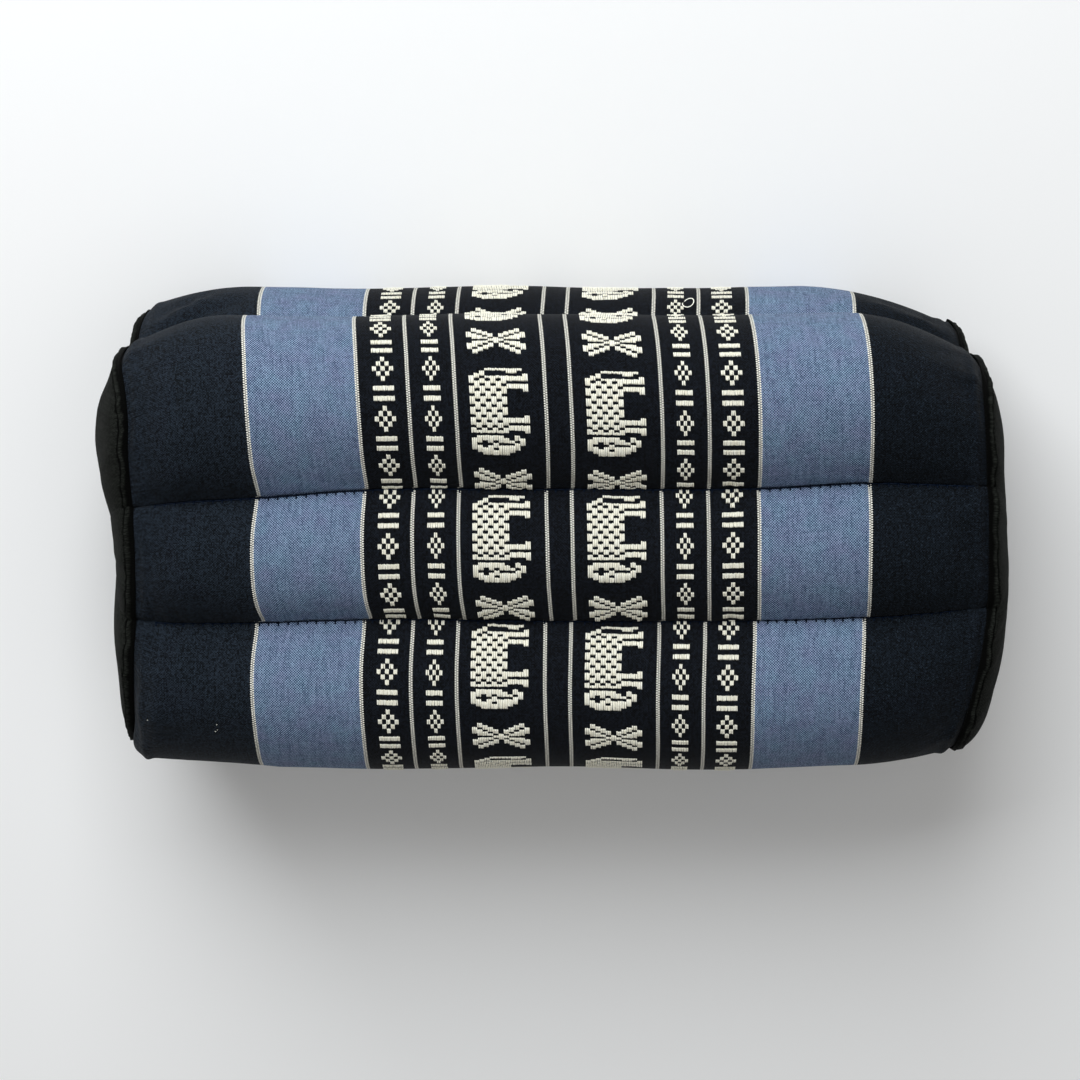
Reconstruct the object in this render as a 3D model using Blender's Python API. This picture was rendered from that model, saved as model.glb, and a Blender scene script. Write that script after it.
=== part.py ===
"""A block cushion: a filled wrap cloth with six sewn channels, and a cloth panel on each end.

X runs along the block, Y across its printed face and Z up out of that face. The block lies on its
back on Z = 0. All sizes are in metres.
"""
import math

import bmesh
import bpy
import numpy as np

# Driving sizes
HALF_DEPTH = 0.060
SEAM_X_LEFT = -0.1609
SEAM_X_RIGHT = 0.1656
LEFT_SEAM_LEAN = 0.45
LEFT_SEAM_MIDDLE_Y = -0.030
RIGHT_SEAM_LEAN = 0.90
RIGHT_SEAM_MIDDLE_Y = 0.015
HALF_HEIGHT = 0.090

# The drawn section at the end seams: a rounded rectangle, a little notched where a sewn line meets it
DRAWN_TOP_LEFT = 0.0760
DRAWN_TOP_RIGHT = 0.0715
DRAWN_BOTTOM = 0.0845
DRAWN_HALF_DEPTH = 0.0500
DRAWN_SQUARENESS = 4.0
DRAWN_NOTCH = 0.075
NOTCH_SHARPNESS = 3.0

# How far from each end seam the channels begin to draw in: at the lower long side, and at the upper long
# side on the printed face and on the back
DRAW_LEFT = (0.020, 0.040, 0.040)
DRAW_RIGHT = (0.048, 0.046, 0.064)
DRAW_POWER = 2.0

# The filling's slow lumps along the channels
LUMP_HEIGHT = 0.0007
LUMP_LENGTH = 0.125

# End domes: how far the stuffing pushes each end out past its seam
DOME_LEFT = 0.0100
DOME_LEFT_BUMP = 0.0080
DOME_LEFT_BUMP_Y = 0.046
DOME_LEFT_BUMP_WIDTH = 0.026
DOME_RIGHT = 0.0115
DOME_CENTRE_Y = -0.003
DOME_ROUNDNESS = 0.55
DOME_RINGS = (0.985, 0.95, 0.86, 0.70, 0.50, 0.25)

# End panels: cloth thickness, gap to the stuffing, and the welt of seam allowance round the rim
PANEL_GAP = 0.0004
PANEL_THICKNESS = 0.0018
WELT_RISE = (0.0020, 0.0014)
WELT_WAVE = 0.0007

# Mesh steps
STATIONS = 44
STATION_CROWDING = 0.08

# Channels in order round the block, from the seam on the upper long side. Each is an arc in the Y-Z plane
# about the block's middle line. Columns: middle y, middle z, radius, first angle, last angle, steps
CHANNELS = {
    "upper front": (0.0540, 0.0240, 0.0360, -48, 138, 12),
    "middle front": (0.0016, 0.0272, 0.0328, 38, 142, 8),
    "lower front": (-0.0540, 0.0240, 0.0360, 42, 228, 12),
    "lower back": (-0.0540, -0.0262, 0.0360, 132, 324, 12),
    "middle back": (0.0000, -0.0323, 0.0299, 211, 329, 8),
    "upper back": (0.0540, -0.0262, 0.0360, 216, 408, 12),
}

# Sewn lines between the channels, in the same order. Columns: full y, full z, and the direction from the
# block's middle line in which each line meets the end seams, in degrees
SEAMS = {
    "upper side": (0.0780, 0.0000, 0),
    "upper front": (0.0274, 0.0475, 60),
    "lower front": (-0.0243, 0.0475, 116),
    "lower side": (-0.0782, 0.0005, 180),
    "lower back": (-0.0255, -0.0475, 242),
    "upper back": (0.0260, -0.0475, 299),
}

# How the two sewn lines of the printed face wander. Columns: x, upper shift in y, lower shift in y
WANDER = (
    (-0.160, -0.0058, -0.0014),
    (-0.120, -0.0038, -0.0010),
    (-0.072, -0.0003, 0.0003),
    (0.000, 0.0000, -0.0003),
    (0.080, 0.0012, 0.0000),
    (0.166, 0.0010, 0.0028),
)

WRAP_COLOUR = (0.075, 0.120, 0.220, 1.0)
PANEL_COLOUR = (0.012, 0.014, 0.012, 1.0)


def clear_scene():
    """Remove whatever the file holds."""
    for old in list(bpy.data.objects):
        bpy.data.objects.remove(old)


def wander_shift(x, column):
    """The shift of a sewn line at x, on a smooth curve through the rows of WANDER."""
    places = [row[0] for row in WANDER]
    shifts = [row[column] for row in WANDER]
    slopes = np.gradient(shifts, places)
    low = int(np.clip(np.searchsorted(places, x) - 1, 0, len(places) - 2))
    span = places[low + 1] - places[low]
    part = min(max((x - places[low]) / span, 0.0), 1.0)
    start = (1 + 2 * part) * (1 - part) ** 2 * shifts[low] + part * (1 - part) ** 2 * span * slopes[low]
    finish = part ** 2 * (3 - 2 * part) * shifts[low + 1] - part ** 2 * (1 - part) * span * slopes[low + 1]
    return start + finish


def seam_shift(name, x):
    """How far a sewn line has wandered in y at x."""
    if name == "upper front":
        return wander_shift(x, 1)
    if name == "lower front":
        return wander_shift(x, 2)
    return 0.0


def full_point(line, x):
    """A point of a channel's arc, pulled so that both its ends lie on their sewn lines."""
    name, first_seam, last_seam, part = line
    middle_y, middle_z, radius, first, last, _ = CHANNELS[name]
    radius += LUMP_HEIGHT * math.sin(2 * math.pi * x / LUMP_LENGTH + first)

    def on_arc(angle):
        turn = math.radians(angle)
        return np.array((middle_y + radius * math.cos(turn), middle_z + radius * math.sin(turn)))

    def pull(seam, angle):
        full_y, full_z, _ = SEAMS[seam]
        return np.array((full_y + seam_shift(seam, x), full_z)) - on_arc(angle)

    start = pull(first_seam, first) * (1 - part)
    finish = pull(last_seam, last) * part
    return on_arc(first + (last - first) * part) + start + finish


def drawn_angle(seam, x):
    """The direction in which a sewn line meets an end seam."""
    angle = SEAMS[seam][2]
    return math.radians(angle) - seam_shift(seam, x) / DRAWN_HALF_DEPTH


def drawn_point(line, side, notch_share=1.0):
    """A point of the drawn section; side is -1 for the left end and 1 for the right."""
    _, first_seam, last_seam, part = line
    seam_x = SEAM_X_LEFT if side < 0 else SEAM_X_RIGHT
    first = drawn_angle(first_seam, seam_x)
    last = drawn_angle(last_seam, seam_x)
    if last < first:
        last += 2 * math.pi
    turn = first + (last - first) * part
    top = DRAWN_TOP_LEFT if side < 0 else DRAWN_TOP_RIGHT
    half_height = top if math.cos(turn) > 0 else DRAWN_BOTTOM
    across = abs(math.cos(turn) / half_height) ** DRAWN_SQUARENESS
    up = abs(math.sin(turn) / DRAWN_HALF_DEPTH) ** DRAWN_SQUARENESS
    reach = (across + up) ** (-1 / DRAWN_SQUARENESS)
    reach *= 1 - notch_share * DRAWN_NOTCH * (1 - math.sin(math.pi * part)) ** NOTCH_SHARPNESS
    return reach * np.array((math.cos(turn), math.sin(turn)))


def columns():
    """Every lengthwise line of the mesh, as channel, its two sewn lines and the share between them."""
    names = list(CHANNELS)
    seams = list(SEAMS)
    lines = []
    for place, name in enumerate(names):
        steps = CHANNELS[name][-1]
        for step in range(steps):
            lines.append((name, seams[place], seams[(place + 1) % len(seams)], step / steps))
    return lines


def end_seam_x(y, side):
    """Where an end seam crosses height y; side is -1 for the left end and 1 for the right."""
    if side < 0:
        return SEAM_X_LEFT - LEFT_SEAM_LEAN * (y - LEFT_SEAM_MIDDLE_Y) ** 2
    return SEAM_X_RIGHT - RIGHT_SEAM_LEAN * (y - RIGHT_SEAM_MIDDLE_Y) ** 2


def draw_reach(reaches, y, z):
    """How far from an end seam the block draws in at (y, z) of its full section."""
    tall = min(max(0.5 + 0.5 * y / HALF_HEIGHT, 0.0), 1.0)
    behind = min(max(0.5 - 0.5 * z / HALF_DEPTH, 0.0), 1.0)
    lower, upper_front, upper_back = reaches
    upper = upper_front + (upper_back - upper_front) * behind
    return lower + (upper - lower) * tall


def fullness(x, left_x, right_x, full):
    """1 where the channels are full, down to 0 at an end seam."""
    left = max(0.0, 1 - (x - left_x) / draw_reach(DRAW_LEFT, *full))
    right = max(0.0, 1 - (right_x - x) / draw_reach(DRAW_RIGHT, *full))
    return 1 - left ** DRAW_POWER - right ** DRAW_POWER


def wrap_point(line, share):
    """A point of the wrap cloth on one lengthwise line, share 0 at the left seam and 1 at the right."""
    rough_x = SEAM_X_LEFT + (SEAM_X_RIGHT - SEAM_X_LEFT) * share
    full = full_point(line, rough_x)
    drawn = drawn_point(line, -1 if share < 0.5 else 1)
    left_x = end_seam_x(drawn[0], -1)
    right_x = end_seam_x(drawn[0], 1)
    x = left_x + (right_x - left_x) * share
    y, z = drawn + (full - drawn) * fullness(x, left_x, right_x, full)
    return x, y, max(z + HALF_DEPTH, 0.0)


def wrap_rows():
    """The wrap cloth's rings from left to right, as an array of rows, columns and x, y, z."""
    lines = columns()
    rows = []
    for station in range(STATIONS):
        even = station / (STATIONS - 1)
        share = even - STATION_CROWDING * math.sin(2 * math.pi * even)
        rows.append([wrap_point(line, share) for line in lines])
    return np.array(rows)


def dome_height(y, side):
    """How far the stuffing stands out past the end seam at height y."""
    if side > 0:
        return DOME_RIGHT
    return DOME_LEFT + DOME_LEFT_BUMP * math.exp(-(((y - DOME_LEFT_BUMP_Y) / DOME_LEFT_BUMP_WIDTH) ** 2))


def dome_point(line, side, reach):
    """A point of a domed end, reach 1 at the end seam and 0 at the dome's middle."""
    rim_y, rim_z = drawn_point(line, side, reach ** 2)
    y = DOME_CENTRE_Y + (rim_y - DOME_CENTRE_Y) * reach
    middle_x = end_seam_x(DOME_CENTRE_Y, side)
    x = middle_x + (end_seam_x(rim_y, side) - middle_x) * reach ** 2
    x += side * dome_height(y, side) * (1 - reach ** 2) ** DOME_ROUNDNESS
    return x, y, rim_z * reach + HALF_DEPTH


def dome_rows(side):
    """Rings of one domed end, from just inside its seam towards its middle."""
    return np.array([[dome_point(line, side, reach) for line in columns()] for reach in DOME_RINGS])


def outward_normals(rows, side):
    """Unit normals of a ring grid that closes on itself across its columns."""
    round_way = np.roll(rows, -1, axis=1) - np.roll(rows, 1, axis=1)
    along = np.gradient(rows, axis=0)
    normals = side * np.cross(round_way, along)
    return normals / np.linalg.norm(normals, axis=2, keepdims=True)


def add_rings(mesh, rows):
    """Make the vertices of every ring, and the triangles between each ring and the next."""
    rings = [[mesh.verts.new(point) for point in row] for row in rows]
    for ring, following in zip(rings, rings[1:]):
        join_rings(mesh, ring, following)
    return rings


def join_rings(mesh, ring, following):
    """Triangles between two rings of equal count."""
    count = len(ring)
    for place in range(count):
        after = (place + 1) % count
        mesh.faces.new((ring[place], ring[after], following[after]))
        mesh.faces.new((ring[place], following[after], following[place]))


def close_ring(mesh, ring, tip):
    """A fan of triangles from a ring to one point."""
    point = mesh.verts.new(tip)
    for place, corner in enumerate(ring):
        mesh.faces.new((corner, ring[(place + 1) % len(ring)], point))


def add_object(name, mesh, colour, roughness):
    """Turn a closed bmesh into a named object with its own material."""
    bmesh.ops.recalc_face_normals(mesh, faces=mesh.faces[:])
    data = bpy.data.meshes.new(name)
    mesh.to_mesh(data)
    mesh.free()
    material = bpy.data.materials.new(name)
    material.use_nodes = True
    shader = material.node_tree.nodes["Principled BSDF"]
    shader.inputs["Base Color"].default_value = colour
    shader.inputs["Roughness"].default_value = roughness
    shader.inputs["Metallic"].default_value = 0.0
    data.materials.append(material)
    data.shade_smooth()
    part = bpy.data.objects.new(name, data)
    bpy.context.collection.objects.link(part)


def add_body(wrap, left_dome, right_dome):
    """The filled wrap cloth with both domed ends, as one closed solid."""
    mesh = bmesh.new()
    rings = add_rings(mesh, np.concatenate((left_dome[::-1], wrap, right_dome)))
    close_ring(mesh, rings[0], dome_point(columns()[0], -1, 0.0))
    close_ring(mesh, rings[-1], dome_point(columns()[0], 1, 0.0))
    add_object("cushion_body", mesh, WRAP_COLOUR, 0.9)


def add_panel(name, wrap_edge, dome, side):
    """One end panel: a cloth shell over the dome, with its uneven welt along the seam."""
    rows = np.concatenate((wrap_edge, dome))
    normals = outward_normals(rows, side)[1:]
    rows = rows[1:]
    turn = np.arange(rows.shape[1]) * 2 * math.pi / rows.shape[1]
    wave = np.sin(9 * turn + 0.6) + 0.6 * np.sin(17 * turn + side)
    rise = np.zeros(rows.shape[:2])
    for ring, height in enumerate(WELT_RISE):
        rise[ring] = height + WELT_WAVE * wave
    tip = np.array(dome_point(columns()[0], side, 0.0))
    outward = np.array((side, 0.0, 0.0))
    mesh = bmesh.new()
    outer_rings = add_rings(mesh, rows + normals * (PANEL_GAP + PANEL_THICKNESS + rise)[:, :, None])
    inner_rings = add_rings(mesh, rows + normals * PANEL_GAP)
    join_rings(mesh, outer_rings[0], inner_rings[0])
    close_ring(mesh, outer_rings[-1], tip + outward * (PANEL_GAP + PANEL_THICKNESS))
    close_ring(mesh, inner_rings[-1], tip + outward * PANEL_GAP)
    add_object(name, mesh, PANEL_COLOUR, 0.85)


def main():
    clear_scene()
    wrap = wrap_rows()
    left_dome = dome_rows(-1)
    right_dome = dome_rows(1)
    add_body(wrap, left_dome, right_dome)
    add_panel("end_panel_left", wrap[1::-1], left_dome, -1)
    add_panel("end_panel_right", wrap[-2:], right_dome, 1)


main()
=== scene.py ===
"""A channelled block cushion in a woven wrap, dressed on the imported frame.

X runs along the block, Y across its printed face towards the upper long side, Z up. Metres throughout.
"""
import math

import bpy
import numpy as np
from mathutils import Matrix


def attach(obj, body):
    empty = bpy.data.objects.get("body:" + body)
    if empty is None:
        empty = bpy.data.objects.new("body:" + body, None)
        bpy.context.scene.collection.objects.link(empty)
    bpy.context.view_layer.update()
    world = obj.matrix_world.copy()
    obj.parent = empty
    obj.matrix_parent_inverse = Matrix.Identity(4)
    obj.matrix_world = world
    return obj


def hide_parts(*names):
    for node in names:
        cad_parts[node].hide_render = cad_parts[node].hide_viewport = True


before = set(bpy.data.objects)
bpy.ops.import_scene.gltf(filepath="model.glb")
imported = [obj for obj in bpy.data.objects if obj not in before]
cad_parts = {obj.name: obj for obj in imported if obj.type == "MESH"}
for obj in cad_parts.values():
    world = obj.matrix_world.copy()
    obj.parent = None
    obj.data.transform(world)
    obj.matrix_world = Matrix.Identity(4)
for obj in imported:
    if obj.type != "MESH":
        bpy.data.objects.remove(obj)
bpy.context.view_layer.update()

bl_info = {
    "name": "Block Cushion",
    "version": (1, 0, 0),
    "blender": (4, 5, 0),
    "location": "View3D > Sidebar > Block Cushion",
    "description": "Builds the cushion's wrap, woven motifs, stitches and end panels on the frame",
    "category": "Add Mesh",
}

# The filled block, as its solids have it
HALF_DEPTH = 0.060
HALF_HEIGHT = 0.090
SEAM_X = {-1: -0.1609, 1: 0.1656}
DRAWN_TOP = {-1: 0.0760, 1: 0.0725}
DRAWN_BACK_RISE = {-1: 0.0100, 1: 0.0085}
DRAWN_BACK_STEEPNESS = 2.2
DRAWN_BOTTOM = {-1: 0.0810, 1: 0.0840}
DRAWN_HALF_DEPTH = 0.0500
DRAWN_SQUARENESS = 4.0
DRAWN_NOTCH = 0.075
NOTCH_SHARPNESS = 3.0
DRAW_REACH = {-1: (0.005, 0.040, 0.040), 1: (0.040, 0.046, 0.064)}
DRAW_POWER = 2.0
LUMP_HEIGHT = 0.0007
LUMP_LENGTH = 0.125
DOME_CENTRE_Y = -0.003
DOME_ROUNDNESS = 0.55

# The lower left corner: a small ear of cloth stands out beside the end seam, and the lower long side sags
# towards that end
EAR_Y = -0.0860
EAR_SPREAD = 0.010
EAR_FRONT = 0.030
EAR_OUT = 0.0028
EAR_REACH = 0.0016
SAG_SHARE = 0.42
SAG_REACH = 0.055
SAG_POWER = 0.9
SAG_BEGINS_Y = -0.045
SAG_FULL_Y = -0.085

# Where the end seams run. Columns: y, left x, right x
END_SEAMS = (
    (-0.0900, -0.1640, 0.1530),
    (-0.0747, -0.1628, 0.1558),
    (-0.0586, -0.1622, 0.1590),
    (-0.0384, -0.1614, 0.1624),
    (-0.0185, -0.1602, 0.1644),
    (0.0016, -0.1596, 0.1640),
    (0.0215, -0.1602, 0.1634),
    (0.0413, -0.1612, 0.1620),
    (0.0550, -0.1611, 0.1612),
    (0.0660, -0.1628, 0.1608),
    (0.0744, -0.1652, 0.1619),
    (0.0850, -0.1652, 0.1613),
)

# Towards the back, the top of each end seam turns inward
BACK_TURN = {-1: 0.0050, 1: 0.0065}
BACK_TURN_FRONT = 0.035
BACK_TURN_REAR = -0.030
BACK_TURN_HIGH = 0.070

# How far the stuffing pushes each end out. Columns: y, left, right
DOME = (
    (-0.0850, 0.0100, 0.0195),
    (-0.0660, 0.0106, 0.0172),
    (-0.0340, 0.0112, 0.0120),
    (-0.0100, 0.0106, 0.0100),
    (0.0110, 0.0112, 0.0088),
    (0.0280, 0.0146, 0.0086),
    (0.0440, 0.0168, 0.0088),
    (0.0560, 0.0155, 0.0070),
    (0.0650, 0.0104, 0.0046),
    (0.0800, 0.0045, 0.0040),
)

# Channels in order round the block, from the seam on the upper long side. Each is an arc in the Y-Z plane
# about the block's middle line. Columns: middle y, middle z, radius, first angle, last angle, steps
CHANNELS = {
    "upper front": (0.0540, 0.0240, 0.0360, -48, 138, 58),
    "middle front": (0.0016, 0.0272, 0.0328, 38, 142, 36),
    "lower front": (-0.0540, 0.0240, 0.0360, 42, 228, 54),
    "lower back": (-0.0540, -0.0262, 0.0360, 132, 324, 34),
    "middle back": (0.0000, -0.0323, 0.0299, 211, 329, 20),
    "upper back": (0.0540, -0.0262, 0.0360, 216, 408, 36),
}

# Sewn lines between the channels, in the same order. Columns: full y, full z, and the direction from the
# block's middle line in which each line meets the end seams, in degrees
SEAMS = {
    "upper side": (0.0780, 0.0000, 0),
    "upper front": (0.0274, 0.0475, 60),
    "lower front": (-0.0243, 0.0475, 116),
    "lower side": (-0.0782, 0.0005, 180),
    "lower back": (-0.0255, -0.0475, 242),
    "upper back": (0.0260, -0.0475, 299),
}

# How the two sewn lines of the printed face wander. Columns: x, upper shift in y, lower shift in y
WANDER = (
    (-0.160, -0.0058, -0.0014),
    (-0.120, -0.0038, -0.0010),
    (-0.072, -0.0003, 0.0003),
    (0.000, 0.0000, -0.0003),
    (0.080, 0.0003, 0.0000),
    (0.120, 0.0024, 0.0012),
    (0.166, 0.0014, 0.0028),
)
WANDER_COLUMN = {"upper front": 1, "lower front": 2}

# Steps of the wrap's mesh along the block, closer together at its ends
STATIONS = 395
STATION_CROWDING = 0.07
COLUMN_CROWDING = 0.72

# The cloth simulation: its mesh has half the steps each way, and how far it may move a point
SETTLE_DENSITY = 0.5
SETTLE_FRAMES = 20
SETTLE_CAP = 0.0035
SETTLE_SPREAD = 9
SLACK_REACH = 0.010

# The cloth starts the simulation a little uneven: height, and length of its waves along and round the block
UNEVEN_HEIGHT, UNEVEN_ALONG, UNEVEN_ROUND = 0.00012, 0.007, 0.012

# A sewn line shortens the cloth within this reach
TAKE_UP_REACH = 0.013

# The wrap's two cut edges meet in the sewn line where this channel begins
CLOSING_CHANNEL = "middle back"

# Cloth hidden in a sewn line, on either side of it
SWALLOWED = 0.0012

# How the woven rows lie in each channel: their shift round the block at its start, middle, late part and
# end, and their slope along the block
ROW_PLACES = (0.0, 0.5, 0.85, 1.0)
ROW_LIE = {
    "upper front": (0.0003, 0.0009, 0.0011, 0.0028, 0.014),
    "middle front": (0.0006, 0.0005, 0.0010, 0.0020, -0.005),
    "lower front": (0.0018, 0.0008, 0.0004, 0.0000, 0.014),
}

# Creases laid one by one. Columns: start x, start round, end x, end round, width, depth (negative for a
# trough)
CREASES = (
    (-0.1560, -0.0060, -0.1180, -0.0190, 0.0022, -0.0018),
    (-0.1580, -0.0130, -0.1220, -0.0270, 0.0020, 0.0012),
    (-0.1570, -0.0200, -0.1280, -0.0340, 0.0018, -0.0013),
    (-0.1435, 0.0640, -0.1420, 0.0760, 0.0010, -0.0013),
    (-0.1480, 0.0520, -0.1340, 0.0640, 0.0030, -0.0006),
    (0.1500, -0.0060, 0.1080, -0.0150, 0.0024, -0.0016),
    (0.1540, -0.0140, 0.1120, -0.0250, 0.0022, 0.0012),
    (0.1550, -0.0220, 0.1200, -0.0330, 0.0018, -0.0012),
    (0.1560, 0.0420, 0.1400, 0.0520, 0.0020, -0.0008),
    (0.1580, 0.0620, 0.1440, 0.0660, 0.0018, -0.0007),
    (0.1590, 0.2300, 0.1430, 0.2360, 0.0022, -0.0007),
    (-0.1540, 0.2260, -0.1400, 0.2180, 0.0020, -0.0006),
    (-0.1540, 0.1380, -0.1380, 0.1420, 0.0024, -0.0006),
)

# A crease's edges waver by this much over this length, and it fades in and out over these shares of its run
CREASE_WAVER = 0.0008
CREASE_WAVER_LENGTH = 0.006
CREASE_FADES = (0.2, 0.45)

# Puckers along the sewn lines, fine and broad: length along the line, reach from it, and share of the height
FINE_LENGTH, FINE_REACH, FINE_SHARE = 0.0034, 0.0028, 0.5
BROAD_LENGTH, BROAD_REACH, BROAD_SHARE = 0.0085, 0.011, 1.1
BROAD_BEGINS = 0.003
PUCKER_DRAG = 0.35
PUCKER_DRAG_LENGTH = 0.03

# The cloth's bulges between the stitches, and the groove that the thread pulls in
SCALLOP_POWER = 0.7
SCALLOP_MIDDLE = 0.55
SCALLOP_REACH = 0.0009
GROOVE_REACH = 0.0005
STITCH_UNEVEN = 0.0005
STITCH_UNEVEN_LENGTH = 0.011

# Gathers beside the end seams: lengths of the wide and narrow folds, and where they begin and fade
WIDE_FOLD, NARROW_FOLD, NARROW_SHARE = 0.0095, 0.0048, 0.6
GATHER_BEGINS, GATHER_REACH = 0.0025, 0.012
GATHER_EVEN, GATHER_CORNER = 0.55, 0.9
GATHER_SLANT = 0.5
GATHER_SLANT_LENGTH = 0.04
MIDDLE_CORNER = 0.3

# The wrap's rolled lip: how far inside the end seam, how wide, and where round the block it is flatter
LIP_INSIDE, LIP_WIDTH = 0.0036, 0.0018
LIP_FLAT, LIP_FLAT_ROUND, LIP_FLAT_REACH = 0.7, -0.02, 0.03
LIP_UNEVEN = 0.4
LIP_UNEVEN_LENGTH = 0.008

# Soft lumps of the filling: their lengths along and round the block
LUMP_ALONG, LUMP_ROUND, LUMP_SLANT = 0.028, 0.024, 0.3

# Rings of each domed end, and how far it stands outside the wrap's last ring
DOME_REACHES = (0.97, 0.90, 0.75, 0.50, 0.25)
DOME_STEP = 0.0002

# The end cloths: their rings from the rim inwards, and where they sit over the dome
RIM_RINGS, RIM_SHARE = 32, 0.13
FACE_RINGS, FACE_FROM, FACE_TO = 16, 0.84, 0.06
SEAT_RIM, SEAT_MORE, SEAT_REACH = 0.0009, 0.0014, 0.0030
TIP_OUTER, TIP_INNER = 0.0023, 0.0013

# Their doubled welt: each fold's place inwards and width, and the groove outside it
WELT_PLACE, WELT_WIDTH = 0.0020, 0.00042
SECOND_WELT_PLACE, SECOND_WELT_WIDTH, SECOND_WELT_SHARE = 0.0012, 0.00045, 0.75
WELT_GROOVE_PLACE, WELT_GROOVE_WIDTH, WELT_GROOVE_DEPTH = -0.0011, 0.0006, 0.0003
WELT_FRILL, WIDE_FRILL, NARROW_FRILL = 0.4, 0.0065, 0.0031
WELT_WANDERS = ((0.0004, 0.009), (0.0002, 0.004))
WELT_NOTCH, WELT_NOTCH_REACH = 0.75, 0.0020

# Pull lines beside the welt, and soft dents over the end
PULL_HEIGHT, PULL_LENGTH, PULL_BEGINS, PULL_REACH = 0.0011, 0.009, 0.004, 0.014
DENT_HEIGHT, DENT_LENGTH, DENT_BEGINS = 0.0009, 0.021, 0.02

# Woven layout, in millimetres of cloth to either side of the layout's middle line
LAYOUT_MIDDLE = 1.5
PINSTRIPES = (4.7, 38.2, 55.6, 74.5, 115.9)
PINSTRIPE_HALF = 0.36
PINSTRIPE_SCALLOP = 0.46
PINSTRIPE_STEP = 0.92
PINSTRIPE_WINDOW = 1.5
BLUE_BEGINS, BLUE_ENDS = 74.5, 115.9
THREAD_PITCH = 0.50

# Tones of the weave: its middle tone, how much a yarn's own tone counts each way, and how often it changes
MIDDLE_TONE = 0.23
WARP_SHARE, WEFT_SHARE = 0.22, 0.14
YARN_CHANGE = 0.06

# Constants of each finish, on the shader's own sockets
FINISHES = {
    "wrap_cloth": {"Roughness": 0.88, "Sheen Weight": 0.035, "Sheen Roughness": 0.35,
                   "Specular IOR Level": 0.10},
    "motif_yarn": {"Roughness": 0.80, "Sheen Weight": 0.10, "Sheen Roughness": 0.5,
                   "Specular IOR Level": 0.35},
    "panel_cloth": {"Roughness": 0.90, "Sheen Weight": 0.012, "Sheen Roughness": 0.35,
                    "Specular IOR Level": 0.05},
    "sewing_thread_and_groove_shade": {"Roughness": 0.60, "Specular IOR Level": 0.10},
    "loose_yarn": {"Roughness": 0.80, "Specular IOR Level": 0.10},
    "floor_paper": {"Roughness": 0.90, "Base Color": (0.94, 0.94, 0.94, 1.0)},
}

# How the stripes lie on the block. Columns: cloth length round, shift along the block, the share by which
# the left and the right half spread from the middle, and how far each half leans across a channel
LIE = (
    (-0.180, 0.0000, 0.000, 0.000, 0.0008, 0.0004),
    (-0.060, -0.0008, 0.000, 0.006, 0.0006, 0.0003),
    (-0.020, -0.0017, 0.000, 0.010, 0.0000, 0.0000),
    (0.004, -0.0030, 0.004, 0.013, 0.0000, 0.0000),
    (0.030, -0.0032, 0.008, 0.012, 0.0000, 0.0000),
    (0.060, -0.0016, 0.004, 0.009, 0.0000, 0.0000),
    (0.097, 0.0000, 0.000, 0.006, 0.0002, 0.0000),
    (0.117, -0.0002, 0.000, 0.012, 0.0009, 0.0005),
    (0.146, 0.0000, 0.002, 0.008, 0.0010, 0.0006),
    (0.176, 0.0003, 0.006, 0.006, 0.0026, 0.0016),
    (0.205, -0.0006, 0.002, -0.001, 0.0020, 0.0014),
    (0.235, -0.0002, 0.000, -0.006, 0.0012, 0.0010),
    (0.293, 0.0000, 0.000, 0.000, 0.0008, 0.0004),
    (0.360, 0.0000, 0.000, 0.000, 0.0008, 0.0004),
)

# The weaver's draft, one mark for each float and one line for each pick
ANIMAL_DRAFT = (
    "...#######.",
    "..#....##..",
    ".##.......#",
    "##.########",
    "#.#.#.#####",
    "#######....",
    ".#.#.#.####",
    "###########",
    "#.#.#.#...#",
    "#######....",
    ".#.#.#.....",
    "#######....",
    "#.#.#.#....",
    "#######....",
    ".#.#.#.....",
    "#######....",
    "#.#.#.#....",
    "#######....",
    ".#.#.#....#",
    "###########",
    "#.#.#.#####",
    "#######....",
    ".#.#.#.####",
    "#.#.#.#####",
    "#######...#",
    "...........",
    ".#####..#..",
    "#######.##.",
    "##.#.###.#.",
    "#...#...##.",
    "##.######..",
    "####.####..",
    ".#######...",
    "..#####....",
)
FAN_DRAFT = (
    ".#.......#.",
    ".##.....##.",
    "#.##...##.#",
    "##.##.##.##",
    "###.#.#.###",
    ".###.#.###.",
    "....###....",
)
DIAMOND_DRAFT = ("..#..", ".#.#.", "#.#.#", ".#.#.", "..#..")

PICK = 0.00097
REPEAT = 0.0576
ANIMAL_START = 0.0050
FAN_START = ANIMAL_START + 40.2 * PICK
ANIMAL_COLUMN = 0.00200
ANIMAL_BANDS = {"left": -0.0314, "right": 0.0117}
DIAMONDS_IN_REPEAT = 3
DIAMOND_START = 0.0050
DIAMOND_PICKS = 2.04
DIAMOND_MIDDLE = 0.0646
DIAMOND_COLUMN = 0.00159
NARROW_MIDDLE = 0.0467
NARROW_COLUMN = 0.00128
BAR_PICKS = 2.04
BAR_OFFSET = 0.00195

# A float's shape: where it is cut along its length, the width of its top, and its ends' height and width
FLOAT_CUTS = (0.13, 0.5, 0.87)
FLOAT_TOP_WIDTH = 0.60
FLOAT_END_HEIGHT, FLOAT_END_WIDTH = 0.12, 0.90

# Each float: how much of its column it fills, how far it stays from a sewn line, its shortest length, and
# how uneven its ends, lean and height are
FLOAT_FILLS = 0.93
FLOAT_CLEAR = 0.0002
FLOAT_SHORTEST = 0.0004
FLOAT_END_JITTER, FLOAT_LEAN_JITTER = 0.00006, 0.00005
FLOAT_RISES = (0.85, 1.15)
FLOAT_SUNK = 0.12

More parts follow.
